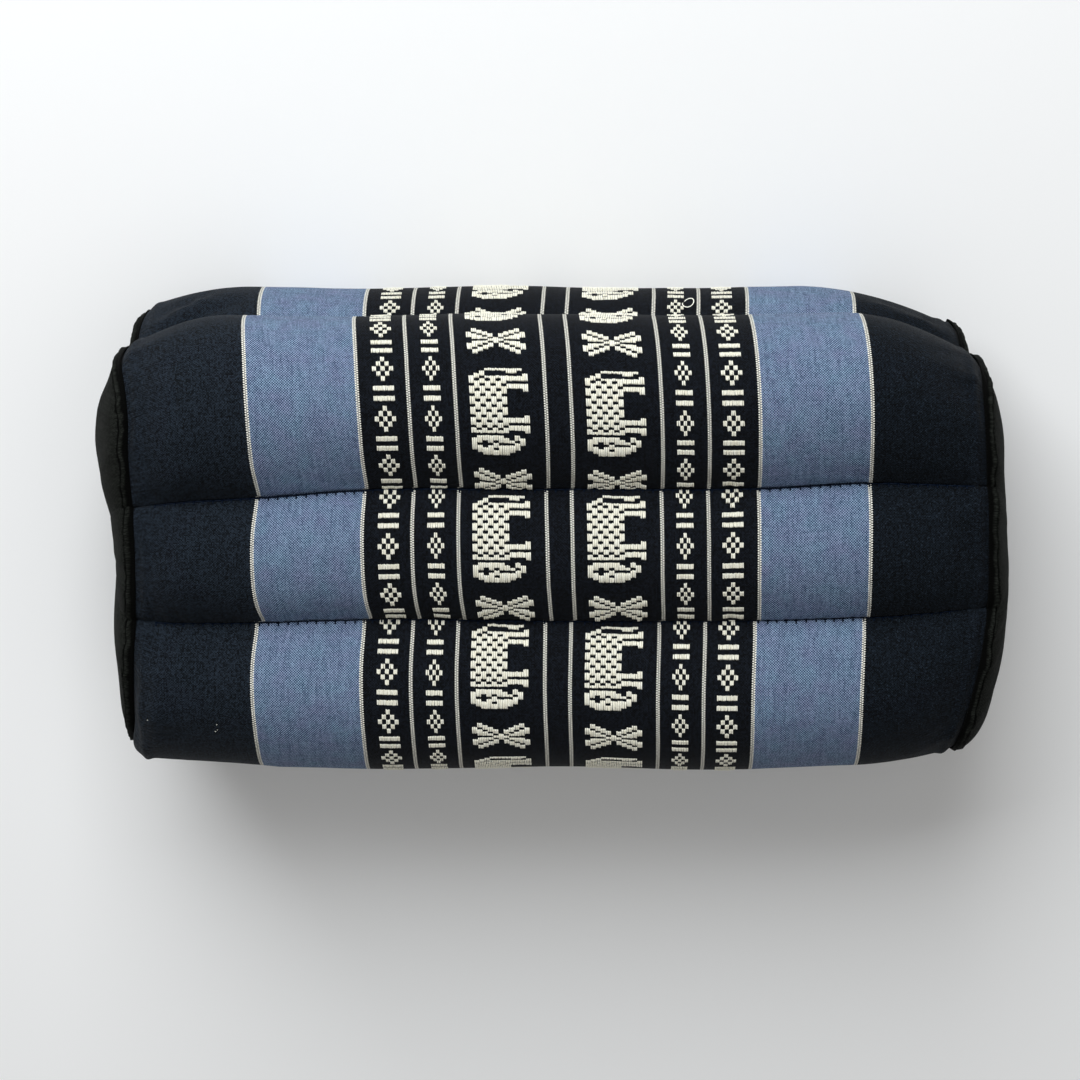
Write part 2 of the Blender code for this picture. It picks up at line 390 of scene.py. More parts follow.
# Stitches: where the sewn lines begin and end, the thread's half width and thickness, and its cross ticks
STITCH_SPAN = (-0.1560, 0.1610)
STITCH_HALF_PLY = 0.00026
STITCH_THICKNESS = 0.00062
STITCH_ASIDE = 0.0003
TICK_LENGTH = 0.0017

# A loop of motif yarn pulled out at the upper long side, and specks of lint. Lint columns: across, round,
# length and lean
LOOP_ACROSS, LOOP_ROUND = 0.0530, -0.0158
LOOP_RADIUS, LOOP_RISE, LOOP_PLY = 0.0022, 0.0022, 0.00020
LOOP_TURNS = (205, -130)
LOOP_STRETCH = 1.45
LOOP_STEPS = 28
LINT_PLY = 0.00009
LINT_RISE = 0.0002
LINT_BEND = 0.3
LINT_STEPS = 6
LINT = (
    (-0.1552, 0.2172, 0.0003, 0.3),
    (-0.1288, 0.2176, 0.0006, -0.8),
    (-0.1297, 0.2211, 0.0006, 0.7),
    (-0.1288, 0.2203, 0.0003, 1.4),
)

# The camera looks down at the printed face, tilted by the depth that shows above it
CAMERA_TILT = math.radians(15.0)
CAMERA_DISTANCE = 1.32
IMAGE_SIZE = 1080.0
FOCAL_PIXELS = 3350.0
MIDDLE_PIXEL = (555.6, 527.0)
SENSOR_WIDTH = 36.0

# Soft lights. Columns: place, size, energy
LIGHTS = {
    "key": ((-0.40, 1.38, 1.22), 1.4, 38.0),
    "top": ((0.30, 0.10, 2.00), 1.6, 5.0),
}
LIGHT_COLOUR = (0.95, 0.98, 1.0)
SKY_COLOUR = (1.0, 0.98, 0.95, 1.0)
SKY_STRENGTH = 0.26


def wave(along, length, seed):
    """A smooth uneven wave through seeded heights, about -1 to 1, one height every length."""
    heights = np.random.default_rng(seed).uniform(-1, 1, 1024)
    place = np.asarray(along) / length + 200
    low = np.floor(place).astype(int)
    part = place - low
    eased = part * part * (3 - 2 * part)
    return heights[low % 1024] * (1 - eased) + heights[(low + 1) % 1024] * eased


def smooth_curve(table, column, at):
    """A smooth curve through one column of a table, whose first column gives the places."""
    places = np.array([row[0] for row in table])
    values = np.array([row[column] for row in table])
    slopes = np.gradient(values, places)
    low = np.clip(np.searchsorted(places, at) - 1, 0, len(places) - 2)
    span = places[low + 1] - places[low]
    part = np.clip((at - places[low]) / span, 0.0, 1.0)
    start = (1 + 2 * part) * (1 - part) ** 2 * values[low] + part * (1 - part) ** 2 * span * slopes[low]
    finish = part ** 2 * (3 - 2 * part) * values[low + 1] - part ** 2 * (1 - part) * span * slopes[low + 1]
    return start + finish


def seam_shift(name, x):
    """How far a sewn line has wandered in y at x."""
    if name not in WANDER_COLUMN:
        return np.zeros_like(x)
    return smooth_curve(WANDER, WANDER_COLUMN[name], x)


def cloth_across(grid, start, from_first, to_last, take_up):
    """Cloth width at each point: the stripes lean, spread and are taken up at the sewn lines."""
    from_seam = np.minimum(from_first, to_last)
    near = np.exp(-(from_seam / TAKE_UP_REACH) ** 2)
    plain = grid[:, :, 0] - smooth_curve(LIE, 1, start)[None, :]
    left, right, left_lean, right_lean = (
        smooth_curve(LIE, column, start)[None, :] for column in (2, 3, 4, 5))
    part = (from_first / (from_first + to_last) - 0.5)[None, :]
    plain = plain - part * np.where(plain < 0, left_lean, right_lean)
    spread = np.where(plain < 0, left, right)
    gathered = np.where(plain < 0, take_up * near[None, :], 0.0)
    return plain * (1 + gathered) / (1 + spread)


def mesh_columns(density=1.0):
    """Every lengthwise line of a mesh: its channel, its two sewn lines and the share between them."""
    names, seams = list(CHANNELS), list(SEAMS)
    lines = []
    for place, name in enumerate(names):
        steps = max(4, round(CHANNELS[name][-1] * density))
        for step in range(steps):
            even = step / steps
            share = even - COLUMN_CROWDING * math.sin(2 * math.pi * even) / (2 * math.pi)
            lines.append((name, seams[place], seams[(place + 1) % len(seams)], share))
    return lines


def full_section(line, x):
    """A channel's (y, z) on the full section at every x, both its ends on their sewn lines."""
    name, first_seam, last_seam, part = line
    middle_y, middle_z, radius, first, last, _ = CHANNELS[name]
    radius = radius + LUMP_HEIGHT * np.sin(2 * math.pi * x / LUMP_LENGTH + first)

    def on_arc(angle):
        turn = math.radians(angle)
        return middle_y + radius * math.cos(turn), middle_z + radius * math.sin(turn)

    y, z = on_arc(first + (last - first) * part)
    for seam, angle, weight in ((first_seam, first, 1 - part), (last_seam, last, part)):
        arc_y, arc_z = on_arc(angle)
        full_y, full_z, _ = SEAMS[seam]
        y = y + (full_y + seam_shift(seam, x) - arc_y) * weight
        z = z + (full_z - arc_z) * weight
    return y, z


def drawn_section(line, side, notch_share=1.0):
    """A line's (y, z) where it meets an end seam; side is -1 for the left end and 1 for the right."""
    _, first_seam, last_seam, part = line
    turns = []
    for seam in (first_seam, last_seam):
        shift = float(seam_shift(seam, np.array([SEAM_X[side]]))[0])
        turns.append(math.radians(SEAMS[seam][2]) - shift / DRAWN_HALF_DEPTH)
    first, last = turns
    if last < first:
        last += 2 * math.pi
    turn = first + (last - first) * part
    behind = min(1.0, max(0.0, -DRAWN_BACK_STEEPNESS * math.sin(turn)))
    top = DRAWN_TOP[side] + DRAWN_BACK_RISE[side] * behind
    half_height = top if math.cos(turn) > 0 else DRAWN_BOTTOM[side]
    across = abs(math.cos(turn) / half_height) ** DRAWN_SQUARENESS
    up = abs(math.sin(turn) / DRAWN_HALF_DEPTH) ** DRAWN_SQUARENESS
    reach = (across + up) ** (-1 / DRAWN_SQUARENESS)
    reach *= 1 - notch_share * DRAWN_NOTCH * (1 - math.sin(math.pi * part)) ** NOTCH_SHARPNESS
    return reach * math.cos(turn), reach * math.sin(turn)


def end_seam_x(y, z, side):
    """Where an end seam lies at (y, z) of its section."""
    x = float(smooth_curve(END_SEAMS, 1 if side < 0 else 2, np.array([y]))[0])
    behind = min(1.0, max(0.0, (BACK_TURN_FRONT - z) / (BACK_TURN_FRONT - BACK_TURN_REAR)))
    high = min(1.0, max(0.0, y / BACK_TURN_HIGH)) ** 3
    return x - side * BACK_TURN[side] * behind * high


def draw_reach(reaches, y, z):
    """How far from an end seam the block draws in at (y, z) of its full section."""
    tall = np.clip(0.5 + 0.5 * y / HALF_HEIGHT, 0.0, 1.0)
    behind = np.clip(0.5 - 0.5 * z / HALF_DEPTH, 0.0, 1.0)
    lower, upper_front, upper_back = reaches
    return lower + (upper_front + (upper_back - upper_front) * behind - lower) * tall


def smooth_grid(lines, stations):
    """The wrap before its creases: points as rows of stations by columns, not yet pressed flat."""
    even = np.linspace(0, 1, stations)
    share = even - STATION_CROWDING * np.sin(2 * math.pi * even)
    rough_x = SEAM_X[-1] + (SEAM_X[1] - SEAM_X[-1]) * share
    grid = np.zeros((stations, len(lines), 3))
    for column, line in enumerate(lines):
        full_y, full_z = full_section(line, rough_x)
        drawn = {side: drawn_section(line, side) for side in (-1, 1)}
        right = share >= 0.5
        drawn_y = np.where(right, drawn[1][0], drawn[-1][0])
        drawn_z = np.where(right, drawn[1][1], drawn[-1][1])
        left_x, right_x = end_seam_x(*drawn[-1], -1), end_seam_x(*drawn[1], 1)
        x = left_x + (right_x - left_x) * share
        left = np.clip(1 - (x - left_x) / draw_reach(DRAW_REACH[-1], full_y, full_z), 0, 1)
        right = np.clip(1 - (right_x - x) / draw_reach(DRAW_REACH[1], full_y, full_z), 0, 1)
        left = left ** DRAW_POWER
        low = np.clip((SAG_BEGINS_Y - full_y) / (SAG_BEGINS_Y - SAG_FULL_Y), 0, 1)
        sag = SAG_SHARE * low * np.clip(1 - (x - left_x) / SAG_REACH, 0, 1) ** SAG_POWER
        full = 1 - left - sag * (1 - left) - right ** DRAW_POWER
        inside = (x - left_x) / EAR_REACH
        near = np.exp(-((full_y - EAR_Y) / EAR_SPREAD) ** 2) * np.clip(full_z / EAR_FRONT, 0.0, 1.0)
        grid[:, column, 0] = x - EAR_OUT * near * inside * np.exp(1 - inside)
        grid[:, column, 1] = drawn_y + (full_y - drawn_y) * full
        grid[:, column, 2] = drawn_z + (full_z - drawn_z) * full + HALF_DEPTH
    return grid


def grid_normals(grid, side=1):
    """Unit normals of a ring grid that closes on itself across its columns."""
    round_way = np.roll(grid, -1, axis=1) - np.roll(grid, 1, axis=1)
    along = np.gradient(grid, axis=0)
    normals = side * np.cross(round_way, along)
    return normals / np.maximum(np.linalg.norm(normals, axis=2, keepdims=True), 1e-12)


def round_lengths(grid, lines):
    """Cloth length round the block at each column, its length to the next, and both sewn-line distances.

    Each sewn line swallows a little cloth on either side, so the length jumps there.
    """
    ring = grid[len(grid) // 2]
    steps = np.linalg.norm(np.roll(ring, -1, axis=0) - ring, axis=1)
    names = [line[0] for line in lines]
    start = np.concatenate(([0.0], np.cumsum(steps)[:-1]))
    closing = names.index(CLOSING_CHANNEL)
    start[closing:] -= steps.sum()
    from_first = np.zeros(len(lines))
    to_last = np.zeros(len(lines))
    for name in CHANNELS:
        own = [place for place, other in enumerate(names) if other == name]
        total = steps[own].sum()
        passed = np.concatenate(([0.0], np.cumsum(steps[own])))
        from_first[own] = passed[:-1]
        to_last[own] = total - passed[:-1]
        edges = start[own[0]] + SWALLOWED + passed * (1 - 2 * SWALLOWED / total)
        if name in ROW_LIE:
            edges -= smooth_curve(list(zip(ROW_PLACES, ROW_LIE[name])), 1, passed / total)
        start[own] = edges[:-1]
        steps[own] = np.diff(edges)
    return start, steps, from_first, to_last


def crease_relief(grid, start):
    """The hand-laid creases, as a height over the smooth wrap."""
    relief = np.zeros(grid.shape[:2])
    x, along = grid[:, :, 0], np.broadcast_to(start, grid.shape[:2])
    for start_x, start_round, end_x, end_round, width, depth in CREASES:
        run = np.array((end_x - start_x, end_round - start_round))
        length = np.linalg.norm(run)
        run = run / length
        offset_x, offset_round = x - start_x, along - start_round
        ahead = offset_x * run[0] + offset_round * run[1]
        aside = offset_round * run[0] - offset_x * run[1]
        aside = aside + CREASE_WAVER * wave(ahead, CREASE_WAVER_LENGTH, 3)
        fade = np.clip(ahead / (CREASE_FADES[0] * length), 0, 1)
        fade = fade * np.clip((length - ahead) / (CREASE_FADES[1] * length), 0, 1)
        relief += depth * fade * np.exp(-((aside / width) ** 2))
    return relief


def stitch_turns(x, seam, pitch):
    """Stitches counted along a sewn line, a little unevenly."""
    uneven = STITCH_UNEVEN * wave(x, STITCH_UNEVEN_LENGTH, 300 + list(SEAMS).index(seam))
    return (x + uneven) / pitch


def pucker_relief(grid, from_first, to_last, lines, sizes):
    """Puckers, bulges and grooves along the sewn lines, as a height over the smooth wrap."""
    relief = np.zeros(grid.shape[:2])
    seams = list(SEAMS)
    for column, (_, first_seam, last_seam, _) in enumerate(lines):
        x = grid[:, column, 0]
        for seam, distance, way in ((first_seam, from_first[column], 1), (last_seam, to_last[column], 2)):
            seed = 10 * seams.index(seam) + way
            drag = x + PUCKER_DRAG * distance * wave(x, PUCKER_DRAG_LENGTH, seed + 500)
            near = distance / FINE_REACH
            fine = wave(drag, FINE_LENGTH, seed) * near * math.exp(1 - near)
            broad = wave(drag, BROAD_LENGTH, seed + 100) * (1 - math.exp(-distance / BROAD_BEGINS))
            broad = broad * math.exp(-distance / BROAD_REACH)
            relief[:, column] += sizes.pucker * (FINE_SHARE * fine + BROAD_SHARE * broad)
            turn = math.pi * stitch_turns(x, seam, sizes.stitch)
            bulge = np.abs(np.sin(turn)) ** SCALLOP_POWER - SCALLOP_MIDDLE
            near = distance / SCALLOP_REACH
            relief[:, column] += sizes.scallop * bulge * near * math.exp(1 - near)
            relief[:, column] -= sizes.groove * math.exp(-(distance / GROOVE_REACH) ** 2)
    return relief


def gather_relief(grid, start, lines, sizes):
    """Gathers and the rolled lip beside the end seams, as a height over the smooth wrap."""
    relief = np.zeros(grid.shape[:2])
    corner = np.array([MIDDLE_CORNER if "middle" in line[0] else math.sin(math.pi * line[3]) ** 2
                       for line in lines])
    for side in (-1, 1):
        inside = np.maximum(side * (grid[-1 if side > 0 else 0, :, 0] - grid[:, :, 0]), 0)
        slant = start + GATHER_SLANT * inside * wave(start, GATHER_SLANT_LENGTH, 70 + side)
        folds = wave(slant, WIDE_FOLD, 80 + side) + NARROW_SHARE * wave(slant, NARROW_FOLD, 90 + side)
        fade = np.exp(-inside / GATHER_REACH) * (1 - np.exp(-inside / GATHER_BEGINS))
        relief += sizes.gather * (GATHER_EVEN + GATHER_CORNER * corner) * folds * fade
        lip = np.exp(-(((inside - LIP_INSIDE) / LIP_WIDTH) ** 2))
        lip = lip * (1 - LIP_FLAT * np.exp(-((start - LIP_FLAT_ROUND) / LIP_FLAT_REACH) ** 2))
        relief += sizes.lip * lip * (1 + LIP_UNEVEN * wave(start, LIP_UNEVEN_LENGTH, 60 + side))
    return relief


def press_out(points, faces, held, slack, sizes):
    """Where a cloth simulation takes the points of a filled cloth, with some held and some slack."""
    mesh = bpy.data.meshes.new("settling")
    mesh.from_pydata(points.tolist(), [], faces)
    piece = bpy.data.objects.new("settling", mesh)
    bpy.context.collection.objects.link(piece)
    pins = piece.vertex_groups.new(name="held")
    pins.add(held, 1.0, "REPLACE")
    loose = piece.vertex_groups.new(name="slack")
    for index, weight in enumerate(slack):
        loose.add([index], float(weight), "REPLACE")

    cloth = piece.modifiers.new("cloth", "CLOTH")
    settings = cloth.settings
    settings.quality = 6
    settings.mass = 0.15
    settings.air_damping = 2.0
    settings.tension_stiffness = 20.0
    settings.compression_stiffness = 20.0
    settings.shear_stiffness = 8.0
    settings.bending_stiffness = 0.3
    settings.vertex_group_mass = "held"
    settings.vertex_group_shrink = "slack"
    settings.shrink_min = 0.0
    settings.shrink_max = -sizes.slack
    settings.use_pressure = True
    settings.uniform_pressure_force = sizes.pressure
    settings.effector_weights.gravity = 0.0
    cloth.collision_settings.use_collision = False
    cloth.point_cache.frame_start = 1
    cloth.point_cache.frame_end = SETTLE_FRAMES
    for frame_number in range(1, SETTLE_FRAMES + 1):
        bpy.context.scene.frame_set(frame_number)
    deselect_all()
    bpy.context.view_layer.objects.active = piece
    piece.select_set(True)
    bpy.ops.object.modifier_apply(modifier="cloth")
    flat = np.zeros(len(piece.data.vertices) * 3)
    piece.data.vertices.foreach_get("co", flat)
    bpy.context.scene.frame_set(1)
    mesh = piece.data
    bpy.data.objects.remove(piece)
    bpy.data.meshes.remove(mesh)
    return flat.reshape(-1, 3)


def refine(height, stations, columns):
    """Heights of a coarse ring grid carried to one with twice its steps each way, and softened."""
    fine = np.zeros((stations, columns))
    fine[::2, ::2] = height
    fine[1::2, ::2] = 0.5 * (height[:-1] + height[1:])
    fine[:, 1::2] = 0.5 * (fine[:, ::2] + np.roll(fine[:, ::2], -1, axis=1))
    for _ in range(2):
        smooth = 0.25 * (np.roll(fine, 1, axis=1) + np.roll(fine, -1, axis=1)) + 0.5 * fine
        smooth[1:-1] = 0.25 * (smooth[:-2] + smooth[2:]) + 0.5 * smooth[1:-1]
        fine = smooth
    return fine


def settle_cloth(lines, stations, sizes):
    """Heights that the cloth takes by itself, from a simulation with the sewn lines held.

    The filling presses the cloth out while the cloth near the sewn lines has slack to lose, so it puckers.
    The even part of the swelling is taken out again, so the crown stays where the solid has it.
    """
    coarse_lines = mesh_columns(SETTLE_DENSITY)
    rows, columns = (stations + 1) // 2, len(coarse_lines)
    count = rows * columns
    grid = smooth_grid(coarse_lines, rows)
    start, _, from_first, to_last = round_lengths(grid, coarse_lines)
    normals = grid_normals(grid)
    uneven = wave(grid[:, :, 0], UNEVEN_ALONG, 21) * wave(start, UNEVEN_ROUND, 22)[None, :]
    begin = grid + normals * (UNEVEN_HEIGHT * uneven)[:, :, None]
    tips = np.array([begin[0].mean(axis=0), begin[-1].mean(axis=0)])
    faces = ring_faces(rows, columns)
    faces += fan_faces(0, columns, count, flip=True)
    faces += fan_faces(count - columns, columns, count + 1)

    held = np.zeros((rows, columns), dtype=bool)
    held[:, from_first == 0.0] = True
    held[0] = held[-1] = True
    held = np.flatnonzero(held).tolist() + [count, count + 1]
    by_seam = np.exp(-np.minimum(from_first, to_last) / SLACK_REACH)[None, :]
    inside = np.minimum(grid[:, :, 0] - grid[:1, :, 0], grid[-1:, :, 0] - grid[:, :, 0])
    slack = np.maximum(by_seam, np.exp(-inside / SLACK_REACH)).ravel()
    pressed = press_out(np.concatenate((begin.reshape(-1, 3), tips)), faces, held, slack, sizes)

    moved = pressed[:count].reshape(rows, columns, 3) - grid
    height = (moved * normals).sum(axis=2)
    even = height.copy()
    for _ in range(SETTLE_SPREAD):
        padded = np.pad(even, ((2, 2), (0, 0)), mode="edge")
        even = sum(padded[shift:shift + rows] for shift in range(5)) / 5
    height = height - even * (1 - sizes.swell_kept)
    return refine(SETTLE_CAP * np.tanh(height / SETTLE_CAP), stations, len(lines))


def wrap_grid(lines, stations, sizes):
    """The creased wrap pressed flat on its back, with its cloth coordinates."""
    grid = smooth_grid(lines, stations)
    start, steps, from_first, to_last = round_lengths(grid, lines)
    settled = settle_cloth(lines, stations, sizes)
    relief = settled + crease_relief(grid, start)
    relief += pucker_relief(grid, from_first, to_last, lines, sizes)
    relief += gather_relief(grid, start, lines, sizes)
    lumps = wave(grid[:, :, 0] + LUMP_SLANT * start, LUMP_ALONG, 5) * wave(start, LUMP_ROUND, 6)[None, :]
    relief += sizes.lump * lumps
    grid = grid + grid_normals(grid) * relief[:, :, None]
    across = cloth_across(grid, start, from_first, to_last, sizes.take_up)
    grid[:, :, 2] = np.maximum(grid[:, :, 2], 0.0)
    return grid, across, start, steps


def dome_ring(lines, side, reach):
    """One ring of a domed end, reach 1 at the end seam and 0 at the dome's middle."""
    ring = []
    middle_x = end_seam_x(DOME_CENTRE_Y, 0.0, side)
    for line in lines:
        rim_y, rim_z = drawn_section(line, side, reach ** 2)
        y = DOME_CENTRE_Y + (rim_y - DOME_CENTRE_Y) * reach
        push = float(smooth_curve(DOME, 1 if side < 0 else 2, np.array([y]))[0])
        x = middle_x + (end_seam_x(rim_y, rim_z, side) - middle_x) * reach ** 2
        x += side * push * (1 - reach ** 2) ** DOME_ROUNDNESS
        ring.append((x, y, rim_z * reach + HALF_DEPTH))
    return np.array(ring)


def deselect_all():
    """Leave nothing selected or active."""
    for item in bpy.context.selected_objects:
        item.select_set(False)
    bpy.context.view_layer.objects.active = None


def new_piece(name, points, faces, material):
    """A smooth mesh object from points and faces, in world place."""
    mesh = bpy.data.meshes.new(name)
    mesh.from_pydata([tuple(point) for point in points], [], faces)
    mesh.validate()
    mesh.update()
    mesh.materials.append(material)
    mesh.shade_smooth()
    piece = bpy.data.objects.new(name, mesh)
    bpy.context.collection.objects.link(piece)
    return piece


def ring_faces(rows, columns, first=0, flip=False):
    """Quads between successive rings of a grid that closes on itself."""
    faces = []
    for row in range(rows - 1):
        here = first + row * columns
        for column in range(columns):
            after = (column + 1) % columns
            quad = (here + column, here + columns + column, here + columns + after, here + after)
            faces.append(quad[::-1] if flip else quad)
    return faces


def fan_faces(ring_start, columns, tip, flip=False):
    """Triangles from one ring to a tip."""
    faces = []
    for column in range(columns):
        after = (column + 1) % columns
        triangle = (ring_start + column, tip, ring_start + after)
        faces.append(triangle[::-1] if flip else triangle)
    return faces


class Tree:
    """Short calls for adding and joining one material's nodes."""

    def __init__(self, name):
        self.material = bpy.data.materials.new(name)
        self.material.use_nodes = True
        self.nodes = self.material.node_tree.nodes
        self.links = self.material.node_tree.links
        self.shader = self.nodes["Principled BSDF"]
        self.shader.inputs["Metallic"].default_value = 0.0
        for socket, value in FINISHES[name].items():
            self.shader.inputs[socket].default_value = value

    def feed(self, socket, value):
        """Join a socket to another, or set it to a constant."""
        if isinstance(value, bpy.types.NodeSocket):
            self.links.new(value, socket)
        else:
            socket.default_value = value

    def math(self, operation, first, second=0.0, third=0.0):
        """One sum on numbers or sockets."""
        node = self.nodes.new("ShaderNodeMath")
        node.operation = operation
        for socket, value in zip(node.inputs, (first, second, third)):
            self.feed(socket, value)
        return node.outputs[0]

    def cloth(self, layer):
        """The piece's own cloth coordinates, in millimetres across and round."""
        node = self.nodes.new("ShaderNodeUVMap")
        node.uv_map = layer
        split = self.nodes.new("ShaderNodeSeparateXYZ")
        self.links.new(node.outputs[0], split.inputs[0])
        return (self.math("MULTIPLY", split.outputs[0], 1000.0),
                self.math("MULTIPLY", split.outputs[1], 1000.0))

    def point(self, x, y, z):
        """A point from its coordinates."""
        node = self.nodes.new("ShaderNodeCombineXYZ")
        for socket, value in zip(node.inputs, (x, y, z)):
            self.feed(socket, value)
        return node.outputs[0]

    def random(self, x, y, z=0.0):
        """A random number from 0 to 1 for each whole-number place."""
        node = self.nodes.new("ShaderNodeTexWhiteNoise")
        self.links.new(self.point(x, y, z), node.inputs["Vector"])
        return node.outputs["Value"]

    def noise_at(self, vector, scale, detail):
        """Noise at a vector, 0 to 1."""
        node = self.nodes.new("ShaderNodeTexNoise")
        self.links.new(vector, node.inputs["Vector"])
        node.inputs["Scale"].default_value = scale
        node.inputs["Detail"].default_value = detail
        return node.outputs["Fac"]

    def noise(self, x, y, z=0.0, scale=1.0, detail=2.0):
        """Noise at a point given by its coordinates, 0 to 1."""
        return self.noise_at(self.point(x, y, z), scale, detail)

    def range(self, value, low, high, to_low=0.0, to_high=1.0):
        """A value carried from one range to another, held at its ends."""
        node = self.nodes.new("ShaderNodeMapRange")
        for socket, number in zip(node.inputs, (value, low, high, to_low, to_high)):
            self.feed(socket, number)
        return node.outputs[0]

    def mix(self, share, first, second, blend="MIX"):
        """Two colours mixed by a share from 0 to 1."""
        node = self.nodes.new("ShaderNodeMix")
        node.data_type = "RGBA"
        node.blend_type = blend
        self.feed(node.inputs[0], share)
        self.feed(node.inputs[6], first)
        self.feed(node.inputs[7], second)
        return node.outputs[2]

    def bump(self, height, distance, strength):
        """Join a height to the shader's normal as bump."""
        node = self.nodes.new("ShaderNodeBump")
        node.inputs["Distance"].default_value = distance
        node.inputs["Strength"].default_value = strength
        self.links.new(height, node.inputs["Height"])
        self.links.new(node.outputs[0], self.shader.inputs["Normal"])

    def colour(self, value):
        """Join a colour to the shader."""
        self.links.new(value, self.shader.inputs["Base Color"])


def weave_height(tree, across, round_way, pitch):
    """Over and under of a plain weave, -1 to 1."""
    turn = 2 * math.pi / pitch
    warp = tree.math("SINE", tree.math("MULTIPLY", across, turn))
    weft = tree.math("SINE", tree.math("MULTIPLY", round_way, turn))
    return tree.math("MULTIPLY", warp, weft)


def thread_tone(tree, across, round_way, regular=1.00, uneven=0.50, slubs=0.26):
    """Tone and height of a plain weave, each thread and each crossing a little different."""
    warp = tree.math("FLOOR", tree.math("DIVIDE", across, THREAD_PITCH))
    weft = tree.math("FLOOR", tree.math("DIVIDE", round_way, THREAD_PITCH))
    over = tree.math("FLOORED_MODULO", tree.math("ADD", warp, weft), 2.0)
    crossing = tree.random(warp, weft)
    warp_ply = tree.random(warp, tree.math("FLOOR", tree.math("MULTIPLY", weft, YARN_CHANGE)))
    weft_ply = tree.random(tree.math("FLOOR", tree.math("MULTIPLY", warp, YARN_CHANGE)), weft, 7.0)
    slub = tree.noise(tree.math("MULTIPLY", across, 0.9), tree.math("MULTIPLY", round_way, 0.09))
    level = MIDDLE_TONE - 0.5 * (regular + uneven)
    tone = tree.math("MULTIPLY_ADD", over, regular, tree.math("MULTIPLY_ADD", crossing, uneven, level))
    tone = tree.math("MULTIPLY_ADD", warp_ply, WARP_SHARE, tone)
    tone = tree.math("MULTIPLY_ADD", weft_ply, WEFT_SHARE, tone)
    tone = tree.math("MULTIPLY_ADD", tree.range(slub, 0.3, 0.7, -0.5, 0.5), slubs, tone)
    knuckle = weave_height(tree, across, round_way, 2 * THREAD_PITCH)
    return tone, tree.math("MULTIPLY_ADD", knuckle, 0.5, tree.math("MULTIPLY", crossing, 0.35))


def shade(colour, share=1.0):
    """A colour, lighter or darker if asked, with its alpha."""
    return (colour[0] * share, colour[1] * share, colour[2] * share, 1.0)


def wrap_material(colours):
    """The striped wrap cloth: plain weave in blue and navy, with two-ply cream pinstripes. The pinstripes
    carry painted shade between their plies and twists, and the right navy stripe is painted darker than the
    left.
    """
    tree = Tree("wrap_cloth")
    across, round_way = tree.cloth("cloth")
    aside = tree.math("ABSOLUTE", tree.math("SUBTRACT", across, LAYOUT_MIDDLE))

    offset, near = 0.0, 0.0
    for middle in PINSTRIPES:
        away = tree.math("SUBTRACT", aside, middle)
        close = tree.math("LESS_THAN", tree.math("ABSOLUTE", away), PINSTRIPE_WINDOW)
        offset = tree.math("MULTIPLY_ADD", away, close, offset)
        near = tree.math("ADD", near, close)
    other_yarn = tree.math("MULTIPLY", tree.math("GREATER_THAN", offset, 0.0), 0.5)
    turn = tree.math("FRACT", tree.math("MULTIPLY_ADD", round_way, 1 / PINSTRIPE_STEP, other_yarn))
    swell = tree.math("SUBTRACT", 1.0, tree.math("ABSOLUTE", tree.math("MULTIPLY_ADD", turn, 2.0, -1.0)))
    reach = tree.math("MULTIPLY_ADD", swell, PINSTRIPE_SCALLOP, PINSTRIPE_HALF)
    pinstripe = tree.math("MULTIPLY", near, tree.math("LESS_THAN", tree.math("ABSOLUTE", offset), reach))
    blue = tree.math("MULTIPLY", tree.math("GREATER_THAN", aside, BLUE_BEGINS),
                     tree.math("LESS_THAN", aside, BLUE_ENDS))
    outer = tree.math("GREATER_THAN", aside, BLUE_ENDS)

    light, height = thread_tone(tree, across, round_way)
    grain, _ = thread_tone(tree, across, round_way, 0.40, 0.95, 0.10)
    mottle = tree.noise(across, round_way, 9.0, scale=0.13, detail=3.0)

    faded = tree.range(mottle, 0.30, 0.70)
    blue_pale = tree.mix(faded, shade(colours.blue_light), shade(colours.blue_warm))
    blue_cloth = tree.mix(light, shade(colours.blue_dark), blue_pale)
    # Painted shade: the right outer navy stripe takes a darker colour than the left, standing in for the
    # sheen that the left stripe catches from the key light.
    right = tree.math("GREATER_THAN", across, 0.0)
    navy = tree.mix(right, shade(colours.navy), shade(colours.navy_right_painted_shade))
    grain = tree.math("MAXIMUM", grain, 0.0)
    navy_cloth = tree.mix(1.0, navy, tree.mix(grain, (0.20, 0.20, 0.20, 1), (2.1, 2.1, 2.1, 1)), "MULTIPLY")
    ground_cloth = tree.mix(grain, shade(colours.ground, 0.15), shade(colours.ground, 2.00))
    fleck = tree.range(tree.noise(across, round_way, 21.0, scale=1.6, detail=1.0), 0.62, 0.72, 0.0, 0.6)
    navy_cloth = tree.mix(fleck, navy_cloth, shade(colours.navy, 3.0))

    # Painted shade on the pinstripe yarn: where ply is low, a darker copy of the yarn colour marks a line
    # down the middle between the two plies and notches between the twists. Ply also raises the bump.
    ply = tree.math("MULTIPLY", tree.range(swell, 0.18, 0.48), tree.range(
        tree.math("ABSOLUTE", offset), 0.02, 0.16))
    pin_cloth = tree.mix(ply, shade(colours.pinstripe, 0.14), shade(colours.pinstripe))

    colour = tree.mix(outer, ground_cloth, navy_cloth)
    colour = tree.mix(blue, colour, blue_cloth)
    colour = tree.mix(pinstripe, colour, pin_cloth)
    tree.colour(colour)

    height = tree.math("ADD", height, tree.math("MULTIPLY", pinstripe, tree.math("MULTIPLY", ply, 1.5)))
    drawn = tree.noise(tree.math("MULTIPLY", across, 0.10), tree.math("MULTIPLY", round_way, 0.75), 3.0)
    by_end = tree.range(aside, 150.0, 160.0, 0.0, 5.0)
    height = tree.math("MULTIPLY_ADD", drawn, by_end, height)
    tree.bump(height, 0.00018, 0.9)
    return tree.material


